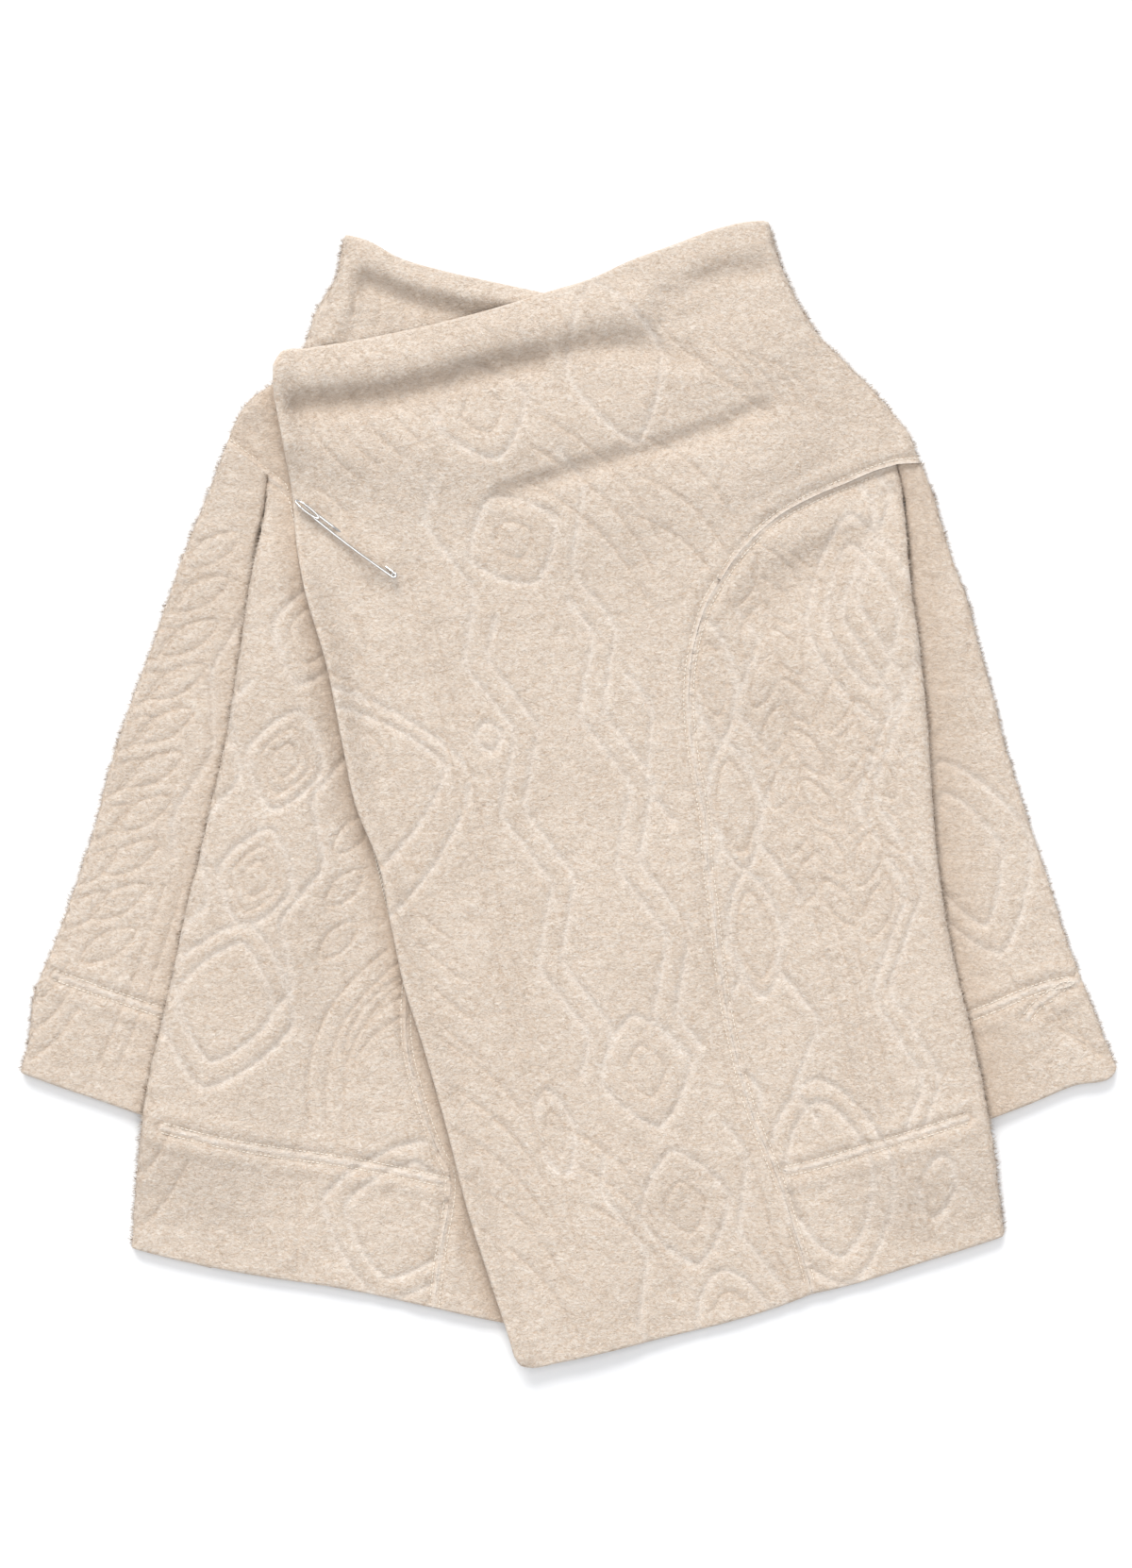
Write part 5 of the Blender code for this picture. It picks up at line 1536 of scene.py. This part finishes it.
def pin_height():
    """Height of the bar's middle: above the highest cloth that the pin shows on."""
    length, near = pin_frame()[3], HOLES_ALONG[0] * pin_frame()[3] - HOLE_LENGTH / 2
    on_bar = [pin_place(length * t, 0) for t in np.linspace(0, 1, HEIGHT_POINTS[0])]
    on_arm = [pin_place(near * t, PIN_SPREAD) for t in np.linspace(0, 1, HEIGHT_POINTS[1])]
    return float(top_of_front_upper(np.array(on_bar + on_arm)).max()) + PIN_LIFT + WIRE / 2


def pin_wire_points():
    """Bar, coil and arm: the bar lies on the cloth, the arm goes into it and out again. The
    cloth here has no slots, which the part's source has."""
    _, along, side, length = pin_frame()
    high, half = pin_height(), HOLE_LENGTH / 2
    hidden = float(top_of_front_upper(np.array([pin_place(length / 2, 0)]))[0]) - PIN_DEPTH
    middle = (high + hidden) / 2
    coil_drop = (WIRE + WIRE_GAP) * COIL_TURNS
    points = []
    for t in np.linspace(1 / length, 1, BAR_POINTS):
        bow = -PIN_BOW * math.sin(math.pi * t)
        points.append((*pin_place(t * length, bow), high + coil_drop * t * t))
    centre = pin_place(length, PIN_SPREAD / 2)
    steps = round(TURN_POINTS * COIL_TURNS)
    for k in range(1, steps + 1):
        a = -math.pi / 2 + 2 * math.pi * k / TURN_POINTS
        place = centre + PIN_SPREAD / 2 * (along * math.cos(a) + side * math.sin(a))
        points.append((*place, high + coil_drop * (1 - k / steps)))
    near, far = (part * length for part in HOLES_ALONG)
    edge, bend = half + 1, half + 1 + ARM_BEND
    arm = [
        (far + edge, high), (far, middle), (far - edge, hidden), (far - bend, hidden),
        (near + bend, hidden), (near + edge, hidden), (near, middle),
        (near - edge, high), (near - bend, high), (ARM_BEND, high),
    ]
    points += [(*pin_place(along_mm, PIN_SPREAD), z) for along_mm, z in curve(arm, WIRE_STEP)]
    return points


def pin_clasp_points():
    """A narrow loop that lies on the bar and dips in front of the two tips."""
    over = pin_height() + (WIRE + CLASP_WIRE) / 2 + WIRE_GAP
    points = []
    for k in range(CLASP_POINTS):
        a = 2 * math.pi * k / CLASP_POINTS
        along_mm = CLASP_MIDDLE + CLASP_LENGTH / 2 * math.cos(a)
        side_mm = PIN_SPREAD / 2 + (PIN_SPREAD / 2 + CLASP_SPARE) * math.sin(a)
        past_end = along_mm - CLASP_MIDDLE + CLASP_LENGTH / 2
        dip = CLASP_DIP * (1 - float(smoothstep(past_end / TIP_BEND)))
        points.append((*pin_place(along_mm, side_mm), over - dip))
    return points


def add_wire(name, points, diameter, cyclic=False):
    """A round smooth wire through points given in millimetres."""
    path = bpy.data.curves.new(name, "CURVE")
    path.dimensions = "3D"
    path.bevel_depth = diameter / 2000
    path.bevel_resolution = WIRE_ROUNDNESS
    path.use_fill_caps = True
    line = path.splines.new("POLY")
    line.points.add(len(points) - 1)
    for spot, (x, y, z) in zip(line.points, points):
        spot.co = ((x - CENTRE[0]) / 1000, (y - CENTRE[1]) / 1000, z / 1000, 1)
    line.use_cyclic_u = cyclic
    line.use_smooth = True
    path.materials.append(METAL)
    return linked(name, path)


# ---------------------------------------------------------------- building


def cut_area(outline, layers=1):
    """Flat area of a piece's cut in square metres, with what goes round its folds."""
    ring = closed(outline.ring()[1])
    x, y = ring[:, 0], ring[:, 1]
    area = layers * abs(float((x[:-1] * y[1:] - x[1:] * y[:-1]).sum())) / 2
    for k, kind in enumerate(outline.kinds):
        if kind == "fold":
            area += length_of(outline.lines[k]) * (outline.wrap + math.pi * outline.insets[k])
    return area / 1e6


def cut_size(outline, layers=1):
    """Width and length in metres of the smallest upright cloth that the cut fits in."""
    ring = outline.ring()[1]
    width, length = (ring.max(axis=0) - ring.min(axis=0)) / 1000
    folds = sum(kind == "fold" for kind in outline.kinds)
    return layers * width + folds * (outline.wrap + math.pi * FOLD_INSET) / 1000, length


def add_cloth(node_name, outline, top, relief, shows, layers=1):
    name = "cloth_" + node_name
    if layers == 2:
        body, outer = tube(outline, top, relief.height, relief.lines, shows)
    else:
        body, outer = panel(outline, top, lift, relief.height, relief.lines, shows)
    thing, skin = cloth(name, body, outer, relief)
    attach(thing, "root")
    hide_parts(node_name)
    cut_size(outline, layers)
    cut_area(outline, layers)
    if shows is not None:
        add_pile("pile_" + node_name, skin, relief, shows, PILE_SEED + len(node_name))


def seam_threads(node_name, lines, top, relief, shows):
    """The rows of stitches that lie on one piece."""
    rows = []
    for line in lines:
        rows.append(line[shows(line)])
    points, faces = threads(node_name, rows, carve(top, relief.height))
    thing = add_mesh("stitches_" + node_name, points, faces, THREAD)
    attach(thing, "root")


nothing = Relief("back")
front_upper_relief = Relief("front_upper", [RAGLAN_UPPER])
front_under_relief = Relief("front_under", [RAGLAN_UNDER])
side_upper_relief = Relief("side_upper", [RAGLAN_UPPER], [stitch_line(SIDE_UPPER_HEM)])
side_under_relief = Relief("side_under", [RAGLAN_UNDER], [stitch_line(SIDE_UNDER_HEM)])
sleeve_left_relief = Relief("sleeve_left", [], [stitch_line(SLEEVE_LEFT_CUFF, CUFF_DEPTH)])
sleeve_right_relief = Relief("sleeve_right", [], [stitch_line(SLEEVE_RIGHT_CUFF, CUFF_DEPTH)])

add_cloth("back", BACK, top_of_back, nothing, None)
add_cloth(
    "front_under", FRONT_UNDER, top_of_front_under, front_under_relief,
    uncovered(FRONT_UPPER),
)
add_cloth(
    "side_under", SIDE_UNDER, top_of_under, side_under_relief, uncovered(FRONT_UPPER)
)
add_cloth(
    "front_upper", FRONT_UPPER, top_of_front_upper, front_upper_relief, whole
)
add_cloth("side_upper", SIDE_UPPER, top_of_side_upper, side_upper_relief, whole)
add_cloth(
    "sleeve_left", SLEEVE_LEFT, top_of_sleeve, sleeve_left_relief, uncovered(SIDE_UPPER), 2
)
add_cloth(
    "sleeve_right", SLEEVE_RIGHT, top_of_sleeve, sleeve_right_relief, uncovered(SIDE_UNDER), 2
)

# ---------------------------------------------------------------- stitches


def beside(line, away):
    return line + away * inward(line)


def both_sides(line):
    return [beside(line, STITCH_ROW), beside(line, -STITCH_ROW)]


def part_that_shows(outline, cover=None):
    """Says where a point lies on a piece, and not below the one that covers it."""

    def shows(points):
        found = inside(points, outline.ring()[1])
        return found if cover is None else found & ~inside(points, cover.ring()[1])

    return shows


raglan_upper = curve(RAGLAN_UPPER, CREST_STEP)
raglan_under = curve(RAGLAN_UNDER, CREST_STEP)
seam_threads(
    "front_upper", [beside(raglan_upper, -STITCH_ROW)], top_of_front_upper, front_upper_relief, whole
)
seam_threads(
    "side_upper",
    [beside(raglan_upper[SIDE_UPPER_FROM:], STITCH_ROW), *both_sides(stitch_line(SIDE_UPPER_HEM))],
    top_of_side_upper, side_upper_relief, part_that_shows(SIDE_UPPER),
)
seam_threads(
    "front_under", [beside(raglan_under, STITCH_ROW)], top_of_front_under, front_under_relief,
    lambda p: ~inside(p, FRONT_UPPER.ring()[1]),
)
seam_threads(
    "side_under",
    [beside(raglan_under[SIDE_UNDER_FROM:], -STITCH_ROW), *both_sides(stitch_line(SIDE_UNDER_HEM))],
    top_of_under, side_under_relief, part_that_shows(SIDE_UNDER, FRONT_UPPER),
)
for side, outline, cuff, relief, cover in (
    ("sleeve_left", SLEEVE_LEFT, SLEEVE_LEFT_CUFF, sleeve_left_relief, SIDE_UPPER),
    ("sleeve_right", SLEEVE_RIGHT, SLEEVE_RIGHT_CUFF, sleeve_right_relief, SIDE_UNDER),
):
    rows = both_sides(stitch_line(cuff, CUFF_DEPTH))
    seam_threads(side, rows, top_of_sleeve, relief, part_that_shows(outline, cover))

# ---------------------------------------------------------------- pin

pin_wire = add_wire("pin_bent_wire", pin_wire_points(), WIRE)
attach(pin_wire, "root")
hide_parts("pin_wire")
pin_clasp = add_wire("pin_loop", pin_clasp_points(), CLASP_WIRE, True)
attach(pin_clasp, "root")
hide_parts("pin_clasp")

# ---------------------------------------------------------------- floor, light and camera

floor_mesh = bpy.data.meshes.new("floor")
half = FLOOR_SIZE / 2
corners = [(-half, -half, 0), (half, -half, 0), (half, half, 0), (-half, half, 0)]
floor_mesh.from_pydata(corners, [], [(0, 1, 2, 3)])
floor = linked("floor", floor_mesh)
floor.location.z = -FLOOR_DROP
paper = bpy.data.materials.new("floor")
paper.use_nodes = True
paper_shader = paper.node_tree.nodes["Principled BSDF"]
paper_shader.inputs["Base Color"].default_value = (*FLOOR_COLOUR, 1)
paper_shader.inputs["Roughness"].default_value = 0.9
paper_shader.inputs["Specular IOR Level"].default_value = 0.1
floor_mesh.materials.append(paper)


def add_light(name, kind, place, size, power):
    """size is an area light's side, or the angle in radians that a sun seems wide."""
    light = bpy.data.lights.new(name, kind)
    light.energy = power
    if kind == "SUN":
        light.angle = size
    else:
        light.size = size
    thing = linked(name, light)
    thing.location = place
    thing.rotation_euler = (-Vector(place)).to_track_quat("-Z", "Y").to_euler()


for light in LIGHTS:
    add_light(*light)

world = bpy.data.worlds.new("soft_grey")
bpy.context.scene.world = world
world.use_nodes = True
world.node_tree.nodes["Background"].inputs["Color"].default_value = (*WORLD_COLOUR, 1)
world.node_tree.nodes["Background"].inputs["Strength"].default_value = WORLD_STRENGTH
bpy.context.scene.view_settings.view_transform = "Standard"

camera = bpy.data.cameras.new("camera")
camera.sensor_width = 36.0
camera.lens = camera.sensor_width * CAMERA_HEIGHT / VIEW_LENGTH
camera_object = linked("camera", camera)
camera_object.location = (*CAMERA_PLACE, CAMERA_HEIGHT)
bpy.context.scene.camera = camera_object
